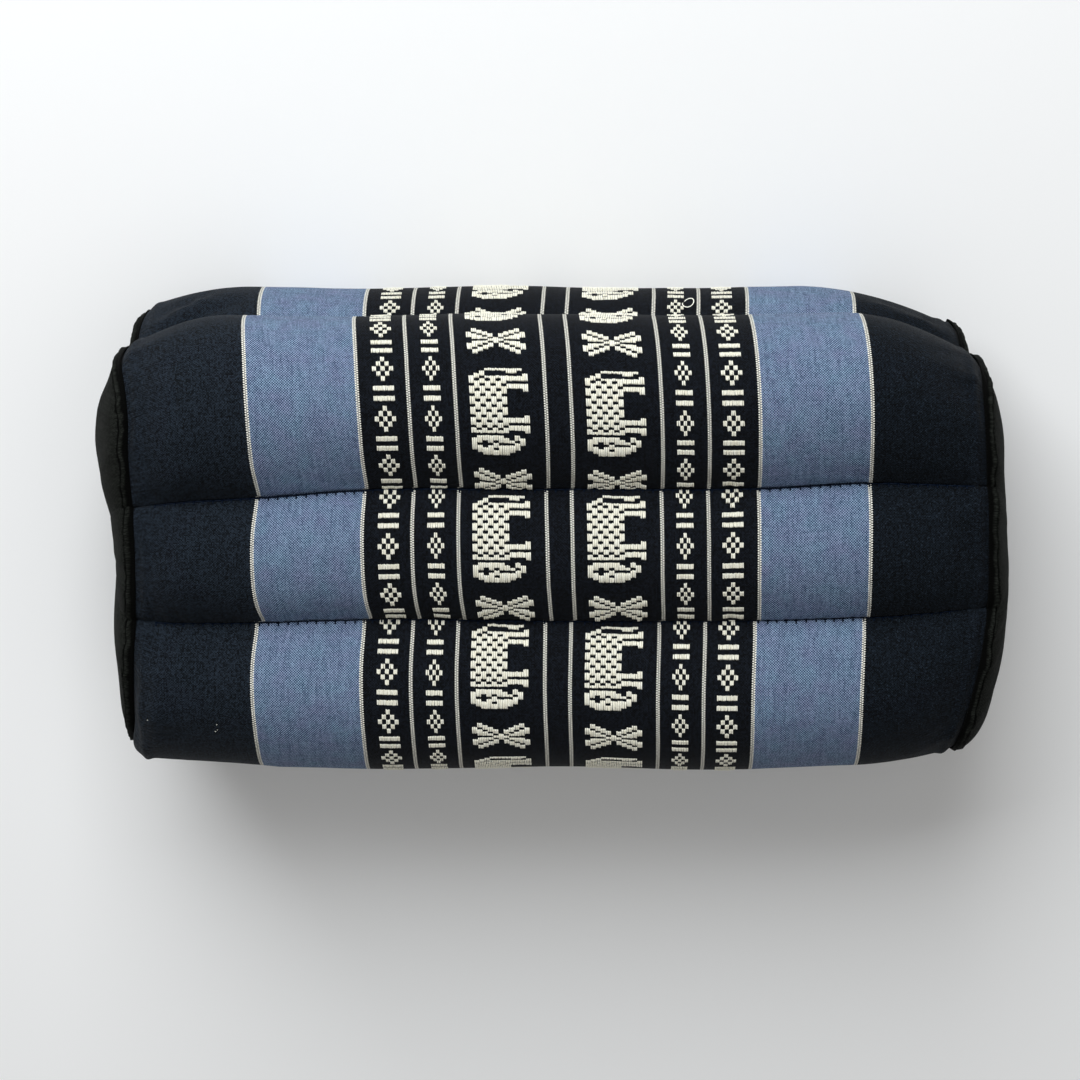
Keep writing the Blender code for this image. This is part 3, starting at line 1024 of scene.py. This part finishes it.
def yarn_material(colours):
    """Thick soft cream yarn, a little uneven from float to float."""
    tree = Tree("motif_yarn")
    across, round_way = tree.cloth("cloth")
    tone = tree.noise(tree.math("MULTIPLY", across, 1.1), tree.math("MULTIPLY", round_way, 0.25))
    fibre = tree.noise(tree.math("MULTIPLY", across, 9.0), tree.math("MULTIPLY", round_way, 1.6), 4.0)
    colour = tree.mix(tree.range(tone, 0.35, 0.65), shade(colours.yarn), shade(colours.yarn_warm))
    colour = tree.mix(tree.range(fibre, 0.35, 0.75, 0.0, 0.22), colour, shade(colours.yarn_warm, 0.55))
    tree.colour(colour)
    tree.bump(fibre, 0.00010, 0.8)
    return tree.material


def panel_material(colours):
    """Plain black cotton of the end panels, with painted shade in the seam groove and in the hollows beside
    the welt's folds.
    """
    tree = Tree("panel_cloth")
    across, round_way = tree.cloth("cloth")
    light, height = thread_tone(tree, across, round_way, 0.5, 0.8)
    along, inward = tree.cloth("rim")
    ragged = tree.range(tree.noise(along, 0.0, 5.0, scale=0.35, detail=3.0), 0.25, 0.75, -0.22, 0.22)
    inward = tree.math("ADD", inward, ragged)
    # Painted shade from the rim coordinate: near-black in the seam groove beside the wrap, a dark line in
    # the hollow between the welt's two folds, and a fainter dark line beyond the second fold.
    deep = tree.range(inward, 1.30, 1.70)
    between = tree.range(tree.math("ABSOLUTE", tree.math("SUBTRACT", inward, 2.65)), 0.15, 0.40)
    beyond = tree.range(tree.math("ABSOLUTE", tree.math("SUBTRACT", inward, 3.8)), 0.10, 0.50, 0.45, 1.0)
    clear_of_painted_shade = tree.math("MULTIPLY", tree.math("MULTIPLY", deep, between), beyond)
    cloth = tree.mix(light, shade(colours.panel, 0.4), shade(colours.panel, 1.7))
    # The painted shade is the panel colour at a tenth of its strength.
    tree.colour(tree.mix(clear_of_painted_shade, shade(colours.panel, 0.10), cloth))
    tree.bump(height, 0.00016, 0.9)
    return tree.material


def plain_material(name, colour):
    """A thread or lint finish: one colour with fine fibres."""
    tree = Tree(name)
    place = tree.nodes.new("ShaderNodeTexCoord").outputs["Object"]
    fibre = tree.noise_at(place, 2500.0, 2.0)
    tree.colour(tree.mix(tree.range(fibre, 0.3, 0.7), shade(colour, 0.7), shade(colour, 1.3)))
    tree.bump(fibre, 0.0001, 0.6)
    return tree.material


def lay_cloth_map(piece, across, start, steps):
    """Give the first faces of a ring-grid piece their cloth coordinates."""
    layer = piece.data.uv_layers.new(name="cloth")
    here = np.stack(np.broadcast_arrays(across, start), axis=-1)
    beyond = np.stack(np.broadcast_arrays(np.roll(across, -1, axis=1), start + steps), axis=-1)
    corners = np.stack((here[:-1], here[1:], beyond[1:], beyond[:-1]), axis=2).reshape(-1, 2)
    flat = np.zeros((len(piece.data.loops), 2))
    flat[:len(corners)] = corners
    layer.data.foreach_set("uv", flat.ravel())


def lay_point_map(piece, name, values):
    """Give a piece a UV layer from one pair of values at each point."""
    layer = piece.data.uv_layers.new(name=name)
    corners = np.zeros(len(piece.data.loops), dtype=int)
    piece.data.loops.foreach_get("vertex_index", corners)
    layer.data.foreach_set("uv", values[corners].ravel())


def length_setting(name, description, default, low, high):
    """A length that a user may change."""
    return bpy.props.FloatProperty(name=name, description=description, default=default,
                                   min=low, max=high, precision=5, unit="LENGTH")


def number_setting(name, description, default, low, high):
    """A plain number that a user may change."""
    return bpy.props.FloatProperty(name=name, description=description, default=default,
                                   min=low, max=high)


def colour_setting(name, description, default):
    """A colour that a user may change."""
    return bpy.props.FloatVectorProperty(name=name, description=description, default=default,
                                         min=0.0, max=1.0, subtype="COLOR")


class CushionSizes(bpy.types.PropertyGroup):
    """Sizes of the cloth's relief."""

    pucker: length_setting("Pucker", "Height of the puckers along the sewn lines", 0.0008, 0.0, 0.003)
    gather: length_setting("Gather", "Height of the gathers at the end seams", 0.0011, 0.0, 0.004)
    lip: length_setting("Lip", "Height of the wrap's rolled lip beside the end seams", 0.0009, 0.0, 0.003)
    pressure: number_setting("Pressure", "How hard the filling presses the cloth out", 4.0, 0.0, 20.0)
    slack: number_setting("Slack", "Share of extra cloth beside the sewn lines", 0.12, 0.0, 0.3)
    swell_kept: number_setting("Swell kept", "Share of the simulated swelling that stays", 0.2, 0.0, 1.0)
    lump: length_setting("Lump", "Height of the filling's soft lumps", 0.0006, 0.0, 0.003)
    take_up: number_setting("Take-up", "Share by which a sewn line shortens the cloth", 0.016, 0.0, 0.05)
    welt: length_setting("Welt", "Height of the end panels' welt over the cloth", 0.0012, 0.0, 0.005)
    panel_cloth: length_setting("Panel cloth", "Thickness of the end panels", 0.0010, 0.0005, 0.003)
    groove: length_setting("Groove", "How deep the thread pulls the sewn lines in", 0.0007, 0.0, 0.003)
    scallop: length_setting("Scallop", "Height of the cloth's bulges between stitches", 0.0004, 0.0, 0.002)
    float_rise: length_setting("Float rise", "Height of motif yarn over the cloth", 0.00042, 0.0001, 0.001)
    stitch: length_setting("Stitch", "Length of one stitch on the sewn lines", 0.00366, 0.002, 0.008)


class CushionColours(bpy.types.PropertyGroup):
    """Colours of cloth, yarn and thread."""

    blue_dark: colour_setting("Blue, dark yarn", "Darker yarn of the blue stripes", (0.008, 0.026, 0.068))
    blue_light: colour_setting("Blue, light yarn", "Lighter yarn of the blue stripes", (0.260, 0.380, 0.520))
    blue_warm: colour_setting("Blue, faded", "Faded patches of the blue stripes", (0.270, 0.320, 0.480))
    navy: colour_setting("Navy", "Outer stripes", (0.0076, 0.0112, 0.0165))
    # Painted shade: darker than the left navy, for the sheen that the left stripe catches from the light.
    navy_right_painted_shade: colour_setting("Navy, right", "Right outer stripe, a darker lot", (0.0036, 0.0058, 0.0090))
    ground: colour_setting("Ground", "Ground of the motif bands", (0.0042, 0.0056, 0.0085))
    pinstripe: colour_setting("Pinstripe", "Two-ply yarn between the stripes", (0.900, 0.880, 0.790))
    yarn: colour_setting("Motif yarn", "Cream yarn of the motifs", (0.985, 0.975, 0.870))
    yarn_warm: colour_setting("Motif yarn, warm", "Warmer floats of the motifs", (0.930, 0.895, 0.750))
    panel: colour_setting("End panels", "Cloth of the end panels", (0.0102, 0.0114, 0.0098))
    # Partly the real thread, partly painted shade: near-black blue like the blue cloth in the shade of the
    # seam grooves.
    thread: colour_setting("Thread", "Sewing thread", (0.002, 0.006, 0.016))


class CUSHION_OT_wrap(bpy.types.Operator):
    """Make the filled wrap cloth with its channels, puckers and stripes"""

    bl_idname = "cushion.wrap"
    bl_label = "Wrap cloth"

    def execute(self, context):
        sizes, colours = context.scene.cushion_sizes, context.scene.cushion_colours
        lines = mesh_columns()
        grid, across, start, steps = wrap_grid(lines, STATIONS, sizes)
        columns = len(lines)
        points = [grid.reshape(-1, 3)]
        faces = ring_faces(STATIONS, columns)
        for side, rim in ((-1, 0), (1, (STATIONS - 1) * columns)):
            first = sum(len(block) for block in points)
            rings = np.array([dome_ring(lines, side, reach) for reach in DOME_REACHES])
            rings[:, :, 0] += side * DOME_STEP
            tip = dome_ring(lines[:1], side, 0.0) + np.array((side * DOME_STEP, 0, 0))
            points += [rings.reshape(-1, 3), tip]
            for column in range(columns):
                after = (column + 1) % columns
                quad = (rim + column, first + column, first + after, rim + after)
                faces.append(quad if side > 0 else quad[::-1])
            faces += ring_faces(len(DOME_REACHES), columns, first, flip=side < 0)
            last = first + (len(DOME_REACHES) - 1) * columns
            faces += fan_faces(last, columns, last + columns, flip=side < 0)
        piece = new_piece("wrap_cushion", np.concatenate(points), faces, wrap_material(colours))
        lay_cloth_map(piece, across, start, steps)
        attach(piece, "root")
        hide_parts("cushion_body")
        return {"FINISHED"}


class ClothPlace:
    """Finds points on the finished wrap from its cloth coordinates."""

    def __init__(self):
        piece = bpy.data.objects["wrap_cushion"]
        lines = mesh_columns()
        self.columns = len(lines)
        count = STATIONS * self.columns
        flat = np.zeros(len(piece.data.vertices) * 3)
        piece.data.vertices.foreach_get("co", flat)
        self.grid = flat.reshape(-1, 3)[:count].reshape(STATIONS, self.columns, 3)
        self.normals = grid_normals(self.grid)
        smooth = smooth_grid(lines, STATIONS)
        self.start, self.steps, self.from_first, self.to_last = round_lengths(smooth, lines)
        take_up = bpy.context.scene.cushion_sizes.take_up
        self.across = cloth_across(self.grid, self.start, self.from_first, self.to_last, take_up)
        self.order = np.argsort(self.start)
        self.low = self.start.min()
        self.high = (self.start + self.steps).max()

    def channels(self):
        """Each channel's name, and the cloth lengths at which it begins and ends."""
        places = np.flatnonzero(self.from_first == 0.0)
        lasts = np.append(places[1:], self.columns) - 1
        return [(name, self.start[first], self.start[last] + self.steps[last])
                for name, first, last in zip(CHANNELS, places, lasts)]

    def find(self, across, round_way):
        """World points and normals at cloth coordinates, given as equal arrays."""
        across, round_way = np.ravel(across), np.ravel(round_way)
        sorted_start = self.start[self.order]
        slot = np.clip(np.searchsorted(sorted_start, round_way, side="right") - 1, 0, self.columns - 1)
        column = self.order[slot]
        part = np.clip((round_way - self.start[column]) / self.steps[column], 0, 1)
        after = (column + 1) % self.columns
        points = np.zeros((len(across), 3))
        normals = np.zeros((len(across), 3))
        for own in np.unique(column):
            chosen = np.nonzero(column == own)[0]
            beyond = after[chosen[0]]
            share = part[chosen][:, None]
            for place, weight in ((own, 1 - share), (beyond, share)):
                row = np.interp(across[chosen], self.across[:, place], np.arange(STATIONS))
                low = np.clip(row.astype(int), 0, STATIONS - 2)
                rest = (row - low)[:, None]
                for target, source in ((points, self.grid), (normals, self.normals)):
                    found = source[low, place] * (1 - rest) + source[low + 1, place] * rest
                    target[chosen] += found * weight
        normals /= np.linalg.norm(normals, axis=1, keepdims=True)
        return points, normals


def float_template():
    """One yarn float, modelled once: its points as shares across, along and up, and its faces."""
    deselect_all()
    bpy.ops.mesh.primitive_cube_add(size=1.0, location=(0.0, 0.5, 0.5))
    piece = bpy.context.object
    bpy.ops.object.transform_apply(location=True)
    bpy.ops.object.mode_set(mode="EDIT")
    for cut in FLOAT_CUTS:
        bpy.ops.mesh.select_all(action="SELECT")
        bpy.ops.mesh.bisect(plane_co=(0.0, cut, 0.0), plane_no=(0.0, 1.0, 0.0))
    bpy.ops.object.mode_set(mode="OBJECT")
    points = np.array([tuple(vertex.co) for vertex in piece.data.vertices])
    faces = [tuple(polygon.vertices) for polygon in piece.data.polygons]
    mesh = piece.data
    bpy.data.objects.remove(piece)
    bpy.data.meshes.remove(mesh)
    top = points[:, 2] > 0.5
    points[top, 0] *= FLOAT_TOP_WIDTH
    ends = (points[:, 1] < 0.01) | (points[:, 1] > 0.99)
    points[ends & top, 2] = FLOAT_END_HEIGHT
    points[ends, 0] *= FLOAT_END_WIDTH
    return points, faces


def draft_runs(draft):
    """Each column's runs of floats in a draft, as column, first pick and pick after the last."""
    runs = []
    for column in range(len(draft[0])):
        first = None
        for pick in range(len(draft) + 1):
            marked = pick < len(draft) and draft[pick][column] == "#"
            if marked and first is None:
                first = pick
            if not marked and first is not None:
                runs.append((column, first, pick))
                first = None
    return runs


def motif_floats(draft, left, column_width, begin, pick, yarns):
    """Floats of one motif, as rows of middle across, width, start round and end round."""
    floats = []
    width = column_width / yarns
    for column, first, last in draft_runs(draft):
        for yarn in range(yarns):
            middle = left + column * column_width + (yarn + 0.5) * width
            floats.append((middle, width, begin + first * pick, begin + last * pick))
    return floats


def animal_band(left, cloth):
    """Floats of one animal band right round the wrap."""
    fan = FAN_DRAFT + FAN_DRAFT[-2::-1]
    floats = []
    first = math.floor((cloth.low - ANIMAL_START) / REPEAT)
    for repeat in range(first, math.ceil(cloth.high / REPEAT) + 1):
        begin = repeat * REPEAT
        floats += motif_floats(ANIMAL_DRAFT, left, ANIMAL_COLUMN, begin + ANIMAL_START, PICK, 3)
        floats += motif_floats(fan, left, ANIMAL_COLUMN, begin + FAN_START, PICK, 3)
    return floats


def diamond_band(middle, column_width, yarns, cloth):
    """Floats of one band of diamonds and bars right round the wrap."""
    floats = []
    pitch = REPEAT / DIAMONDS_IN_REPEAT
    left = middle - 2.5 * column_width
    pick = DIAMOND_PICKS * PICK
    bar_width = column_width / yarns
    half = BAR_PICKS * PICK / 2
    first = math.floor((cloth.low - DIAMOND_START) / pitch)
    for repeat in range(first, math.ceil(cloth.high / pitch) + 1):
        centre = DIAMOND_START + repeat * pitch
        floats += motif_floats(DIAMOND_DRAFT, left, column_width, centre - 2.5 * pick, pick, yarns)
        for side in (-1, 1):
            bar = centre + pitch / 2 + side * BAR_OFFSET
            for yarn in range(5 * yarns):
                floats.append((left + (yarn + 0.5) * bar_width, bar_width, bar - half, bar + half))
    return floats


def lay_floats(name, floats, cloth, material, sizes):
    """Lay floats on the wrap as one joined mesh."""
    template, template_faces = float_template()
    table = np.array(floats)
    shown = []
    for channel, begins, ends in cloth.channels():
        rows = table.copy()
        slope = ROW_LIE[channel][-1] if channel in ROW_LIE else 0.0
        rows[:, 2:] += (slope * rows[:, 0])[:, None]
        rows[:, 2:] = np.clip(rows[:, 2:], begins + FLOAT_CLEAR, ends - FLOAT_CLEAR)
        shown.append(rows[rows[:, 3] - rows[:, 2] > FLOAT_SHORTEST])
    table = np.concatenate(shown)
    rng = np.random.default_rng(11)
    table[:, 2:] += rng.normal(0, FLOAT_END_JITTER, (len(table), 2))
    lean = rng.normal(0, FLOAT_LEAN_JITTER, len(table))
    count = len(template)
    shares = np.tile(template, (len(table), 1))
    rows = np.repeat(table, count, axis=0)
    across = rows[:, 0] + shares[:, 0] * rows[:, 1] * FLOAT_FILLS + np.repeat(lean, count) * shares[:, 1]
    round_way = rows[:, 2] + shares[:, 1] * (rows[:, 3] - rows[:, 2])
    points, normals = cloth.find(across, round_way)
    rise = sizes.float_rise * np.repeat(rng.uniform(*FLOAT_RISES, len(table)), count)
    points += normals * ((shares[:, 2] * (1 + FLOAT_SUNK) - FLOAT_SUNK) * rise)[:, None]
    faces = [tuple(corner + own * count for corner in face)
             for own in range(len(table)) for face in template_faces]
    piece = new_piece(name, points, faces, material)
    lay_point_map(piece, "cloth", np.stack((across, round_way), axis=-1))
    bpy.context.view_layer.objects.active = piece
    piece.select_set(True)
    bpy.ops.object.shade_smooth_by_angle(angle=math.radians(50))
    piece.select_set(False)
    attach(piece, "root")


class CUSHION_OT_motifs(bpy.types.Operator):
    """Lay the raised yarn of the animal bands and of the diamond bands"""

    bl_idname = "cushion.motifs"
    bl_label = "Woven motifs"

    def execute(self, context):
        sizes, colours = context.scene.cushion_sizes, context.scene.cushion_colours
        cloth = ClothPlace()
        material = yarn_material(colours)
        deselect_all()
        for side, left in ANIMAL_BANDS.items():
            lay_floats("animal_band_" + side, animal_band(left, cloth), cloth, material, sizes)
        middle = LAYOUT_MIDDLE / 1000
        for side, way in (("left", -1), ("right", 1)):
            floats = diamond_band(middle + way * DIAMOND_MIDDLE, DIAMOND_COLUMN, 3, cloth)
            floats += diamond_band(middle + way * NARROW_MIDDLE, NARROW_COLUMN, 2, cloth)
            lay_floats("diamond_bands_" + side, floats, cloth, material, sizes)
        return {"FINISHED"}


class CUSHION_OT_stitches(bpy.types.Operator):
    """Sew the stitches of the six channel lines in near-black blue thread, which also stands in for painted
    shade along the seam grooves
    """

    bl_idname = "cushion.stitches"
    bl_label = "Stitches"

    def execute(self, context):
        sizes, colours = context.scene.cushion_sizes, context.scene.cushion_colours
        cloth = ClothPlace()
        template, template_faces = float_template()
        points, faces = [], []
        x = np.linspace(*STITCH_SPAN, 20000)
        for seam, (_, begins, _) in zip(SEAMS, cloth.channels()):
            turns = stitch_turns(x, seam, sizes.stitch)
            knots = np.interp(np.arange(math.ceil(turns[0]), math.floor(turns[-1])), turns, x)
            for here, beyond in zip(knots[:-1], knots[1:]):
                length = beyond - here
                lying = (here + (0.04 + 0.92 * template[:, 1]) * length,
                         begins + STITCH_ASIDE + template[:, 0] * 2 * STITCH_HALF_PLY)
                tick = (here + template[:, 0] * 2.8 * STITCH_HALF_PLY,
                        begins + template[:, 1] * TICK_LENGTH)
                for along, aside in (lying, tick):
                    found, normals = cloth.find(along, np.maximum(aside, begins))
                    first = len(points) * len(template)
                    points.append(found + normals * ((template[:, 2] - 0.25) * STITCH_THICKNESS)[:, None])
                    faces += [tuple(corner + first for corner in face) for face in template_faces]
        # The thread colour doubles as painted shade along the seam grooves.
        material = plain_material("sewing_thread_and_groove_shade", colours.thread)
        piece = new_piece("seam_stitches", np.concatenate(points), faces, material)
        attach(piece, "root")
        return {"FINISHED"}


def yarn_tube(path, normals, radius):
    """A closed six-sided tube along a path, its points and faces."""
    sides = 6
    forward = np.gradient(path, axis=0)
    aside = np.cross(forward, normals)
    aside /= np.linalg.norm(aside, axis=1, keepdims=True)
    above = np.cross(aside, forward)
    above /= np.linalg.norm(above, axis=1, keepdims=True)
    turns = np.arange(sides) * 2 * math.pi / sides
    rings = (path[:, None] + radius * (np.cos(turns)[None, :, None] * aside[:, None]
                                       + np.sin(turns)[None, :, None] * above[:, None]))
    points = np.concatenate((rings.reshape(-1, 3), path[:1], path[-1:]))
    faces = ring_faces(len(path), sides)
    faces += fan_faces(0, sides, len(path) * sides, flip=True)
    faces += fan_faces((len(path) - 1) * sides, sides, len(path) * sides + 1)
    return points, faces


class CUSHION_OT_loose_ends(bpy.types.Operator):
    """Lay the pulled loop of motif yarn and the specks of lint"""

    bl_idname = "cushion.loose_ends"
    bl_label = "Loose ends"

    def execute(self, context):
        colours = context.scene.cushion_colours
        cloth = ClothPlace()
        turn = np.radians(np.linspace(*LOOP_TURNS, LOOP_STEPS))
        rise = LOOP_RISE * np.sin(np.linspace(0, math.pi, LOOP_STEPS)) + 0.0001
        round_loop = LOOP_ROUND + LOOP_STRETCH * LOOP_RADIUS * np.sin(turn)
        paths = [(LOOP_ACROSS + LOOP_RADIUS * np.cos(turn), round_loop, rise, LOOP_PLY)]
        share = np.linspace(-0.5, 0.5, LINT_STEPS)
        rise = np.full(LINT_STEPS, LINT_RISE)
        for across, round_way, length, lean in LINT:
            along = round_way + length * (share * math.sin(lean) + LINT_BEND * share ** 2)
            paths.append((across + length * share * math.cos(lean), along, rise, LINT_PLY))
        points, faces = [], []
        for across, round_way, height, radius in paths:
            found, normals = cloth.find(across, round_way)
            tube, tube_faces = yarn_tube(found + normals * height[:, None], normals, radius)
            first = sum(len(block) for block in points)
            points.append(tube)
            faces += [tuple(corner + first for corner in face) for face in tube_faces]
        material = plain_material("loose_yarn", colours.yarn)
        piece = new_piece("loose_ends", np.concatenate(points), faces, material)
        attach(piece, "root")
        return {"FINISHED"}


def between_columns(row):
    """A value at each column of the wrap, with one more between each two."""
    fine = np.repeat(row, 2, axis=0)
    fine[1::2] = 0.5 * (row + np.roll(row, -1, axis=0))
    return fine


def panel_relief(rows, inward, start, from_seam, side, sizes):
    """Heights of an end cloth's welt, groove, pull lines and dents, and how far inwards its welt stands."""
    frill = wave(start, WIDE_FRILL, 40 + side) + 0.5 * wave(start, NARROW_FRILL, 50 + side)
    notch = np.exp(-(from_seam / WELT_NOTCH_REACH) ** 2)
    height = sizes.welt * (1 + WELT_FRILL * frill) * (1 - WELT_NOTCH * notch)
    centre = WELT_PLACE
    for seed, (wander, length) in enumerate(WELT_WANDERS, 45):
        centre = centre + wander * wave(start, length, seed + side)
    past = inward - centre
    welt = height * np.exp(-((past / WELT_WIDTH) ** 2))
    second = np.exp(-(((past - SECOND_WELT_PLACE) / SECOND_WELT_WIDTH) ** 2))
    groove = np.exp(-(((past - WELT_GROOVE_PLACE) / WELT_GROOVE_WIDTH) ** 2))
    pull = wave(start, PULL_LENGTH, 55 + side) * np.exp(-inward / PULL_REACH)
    pull = PULL_HEIGHT * pull * (1 - np.exp(-inward / PULL_BEGINS))
    dents = wave(rows[:, :, 1] + 0.4 * rows[:, :, 2], DENT_LENGTH, 65 + side)
    dents = DENT_HEIGHT * dents * np.clip(inward / DENT_BEGINS, 0, 1)
    relief = welt + SECOND_WELT_SHARE * height * second - WELT_GROOVE_DEPTH * groove + pull + dents
    return relief, centre


class CUSHION_OT_panels(bpy.types.Operator):
    """Make the two end panels with their uneven welts"""

    bl_idname = "cushion.panels"
    bl_label = "End panels"

    def execute(self, context):
        sizes, colours = context.scene.cushion_sizes, context.scene.cushion_colours
        material = panel_material(colours)
        lines = mesh_columns(2.0)
        cloth = ClothPlace()
        columns = len(lines)
        reaches = np.concatenate((1 - np.linspace(0, 1, RIM_RINGS) * RIM_SHARE,
                                  np.linspace(FACE_FROM, FACE_TO, FACE_RINGS)))
        count = len(reaches) * columns
        start = cloth.start.repeat(2)
        start[1::2] += 0.5 * cloth.steps
        from_seam = between_columns(np.minimum(cloth.from_first, cloth.to_last))
        for side, name in ((-1, "left"), (1, "right")):
            edge = between_columns(cloth.grid[2 if side < 0 else -3])
            rows = np.array([edge] + [dome_ring(lines, side, reach) for reach in reaches])
            normals = grid_normals(rows, side)[1:]
            rows = rows[1:]
            inward = np.zeros(rows.shape[:2])
            inward[1:] = np.cumsum(np.linalg.norm(np.diff(rows, axis=0), axis=2), axis=0)
            relief, centre = panel_relief(rows, inward, start, from_seam, side, sizes)
            seat = SEAT_RIM + SEAT_MORE * (1 - np.exp(-inward / SEAT_REACH))
            thickness = sizes.panel_cloth * np.clip(seat / (SEAT_RIM + SEAT_MORE), 0.5, 1)
            outer = rows + normals * (seat + relief)[:, :, None]
            inner = outer - normals * thickness[:, :, None]
            tip = dome_ring(lines[:1], side, 0.0)
            away = np.array((side, 0.0, 0.0))
            points = np.concatenate((outer.reshape(-1, 3), inner.reshape(-1, 3),
                                     tip + away * TIP_OUTER, tip + away * TIP_INNER))
            flip = side < 0
            faces = ring_faces(len(rows), columns, 0, flip)
            faces += fan_faces(count - columns, columns, 2 * count, flip)
            faces += ring_faces(len(rows), columns, count, not flip)
            faces += fan_faces(2 * count - columns, columns, 2 * count + 1, not flip)
            for column in range(columns):
                after = (column + 1) % columns
                quad = (column, after, count + after, count + column)
                faces.append(quad[::-1] if flip else quad)
            piece = new_piece("end_cloth_" + name, points, faces, material)
            from_edge = np.stack(np.broadcast_arrays(start, inward - centre + WELT_PLACE), axis=-1)
            from_edge = from_edge.reshape(-1, 2)
            lay_point_map(piece, "cloth", points[:, 1:])
            lay_point_map(piece, "rim", np.concatenate((from_edge, from_edge, np.full((2, 2), 0.05))))
            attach(piece, "root")
            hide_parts("end_panel_" + name)
        return {"FINISHED"}


class CUSHION_OT_stage(bpy.types.Operator):
    """Set the floor, the soft lights and the camera"""

    bl_idname = "cushion.stage"
    bl_label = "Stage"

    def execute(self, context):
        deselect_all()
        bpy.ops.mesh.primitive_plane_add(size=8.0, location=(0.0, 0.0, 0.0))
        floor = context.object
        floor.name = "floor"
        floor.data.materials.append(Tree("floor_paper").material)

        world = context.scene.world or bpy.data.worlds.new("studio")
        context.scene.world = world
        world.use_nodes = True
        sky = world.node_tree.nodes["Background"]
        sky.inputs[0].default_value = SKY_COLOUR
        sky.inputs[1].default_value = SKY_STRENGTH

        middle = np.array((0.0, 0.0, HALF_DEPTH))
        for name, (place, size, energy) in LIGHTS.items():
            light = bpy.data.lights.new(name, "AREA")
            light.size = size
            light.energy = energy
            light.color = LIGHT_COLOUR
            lamp = bpy.data.objects.new(name, light)
            context.collection.objects.link(lamp)
            lamp.location = place
            aim = middle - np.array(place)
            lamp.rotation_euler = (math.atan2(math.hypot(aim[0], aim[1]), -aim[2]), 0.0,
                                   math.atan2(aim[1], aim[0]) - math.pi / 2)

        back = np.array((0.0, math.sin(CAMERA_TILT), math.cos(CAMERA_TILT)))
        up = np.array((0.0, math.cos(CAMERA_TILT), -math.sin(CAMERA_TILT)))
        right = np.array((1.0, 0.0, 0.0))
        per_pixel = CAMERA_DISTANCE / FOCAL_PIXELS
        aside = (IMAGE_SIZE / 2 - MIDDLE_PIXEL[0]) * per_pixel
        above = (MIDDLE_PIXEL[1] - IMAGE_SIZE / 2) * per_pixel
        camera_data = bpy.data.cameras.new("camera")
        camera_data.sensor_width = SENSOR_WIDTH
        camera_data.lens = SENSOR_WIDTH * FOCAL_PIXELS / IMAGE_SIZE
        camera = bpy.data.objects.new("camera", camera_data)
        context.collection.objects.link(camera)
        camera.location = middle + back * CAMERA_DISTANCE + right * aside + up * above
        camera.rotation_euler = (-CAMERA_TILT, 0.0, 0.0)
        context.scene.camera = camera
        context.scene.view_settings.view_transform = "Standard"
        return {"FINISHED"}


class CUSHION_PT_panel(bpy.types.Panel):
    """The cushion's pieces and sizes"""

    bl_idname = "CUSHION_PT_panel"
    bl_label = "Block Cushion"
    bl_space_type = "VIEW_3D"
    bl_region_type = "UI"
    bl_category = "Block Cushion"

    def draw(self, context):
        layout = self.layout
        for name in ("wrap", "panels", "motifs", "stitches", "loose_ends", "stage"):
            layout.operator("cushion." + name)
        for group in (context.scene.cushion_sizes, context.scene.cushion_colours):
            for key in group.bl_rna.properties.keys():
                if key not in ("rna_type", "name"):
                    layout.prop(group, key)


CLASSES = (CushionSizes, CushionColours, CUSHION_OT_wrap, CUSHION_OT_panels, CUSHION_OT_motifs,
           CUSHION_OT_stitches, CUSHION_OT_loose_ends, CUSHION_OT_stage, CUSHION_PT_panel)


def register():
    for item in CLASSES:
        bpy.utils.register_class(item)
    bpy.types.Scene.cushion_sizes = bpy.props.PointerProperty(type=CushionSizes)
    bpy.types.Scene.cushion_colours = bpy.props.PointerProperty(type=CushionColours)


def unregister():
    del bpy.types.Scene.cushion_sizes
    del bpy.types.Scene.cushion_colours
    for item in reversed(CLASSES):
        bpy.utils.unregister_class(item)


def main():
    """Make every piece in order."""
    register()
    bpy.ops.cushion.wrap()
    bpy.ops.cushion.panels()
    bpy.ops.cushion.motifs()
    bpy.ops.cushion.stitches()
    bpy.ops.cushion.loose_ends()
    bpy.ops.cushion.stage()


if __name__ == "__main__":
    main()
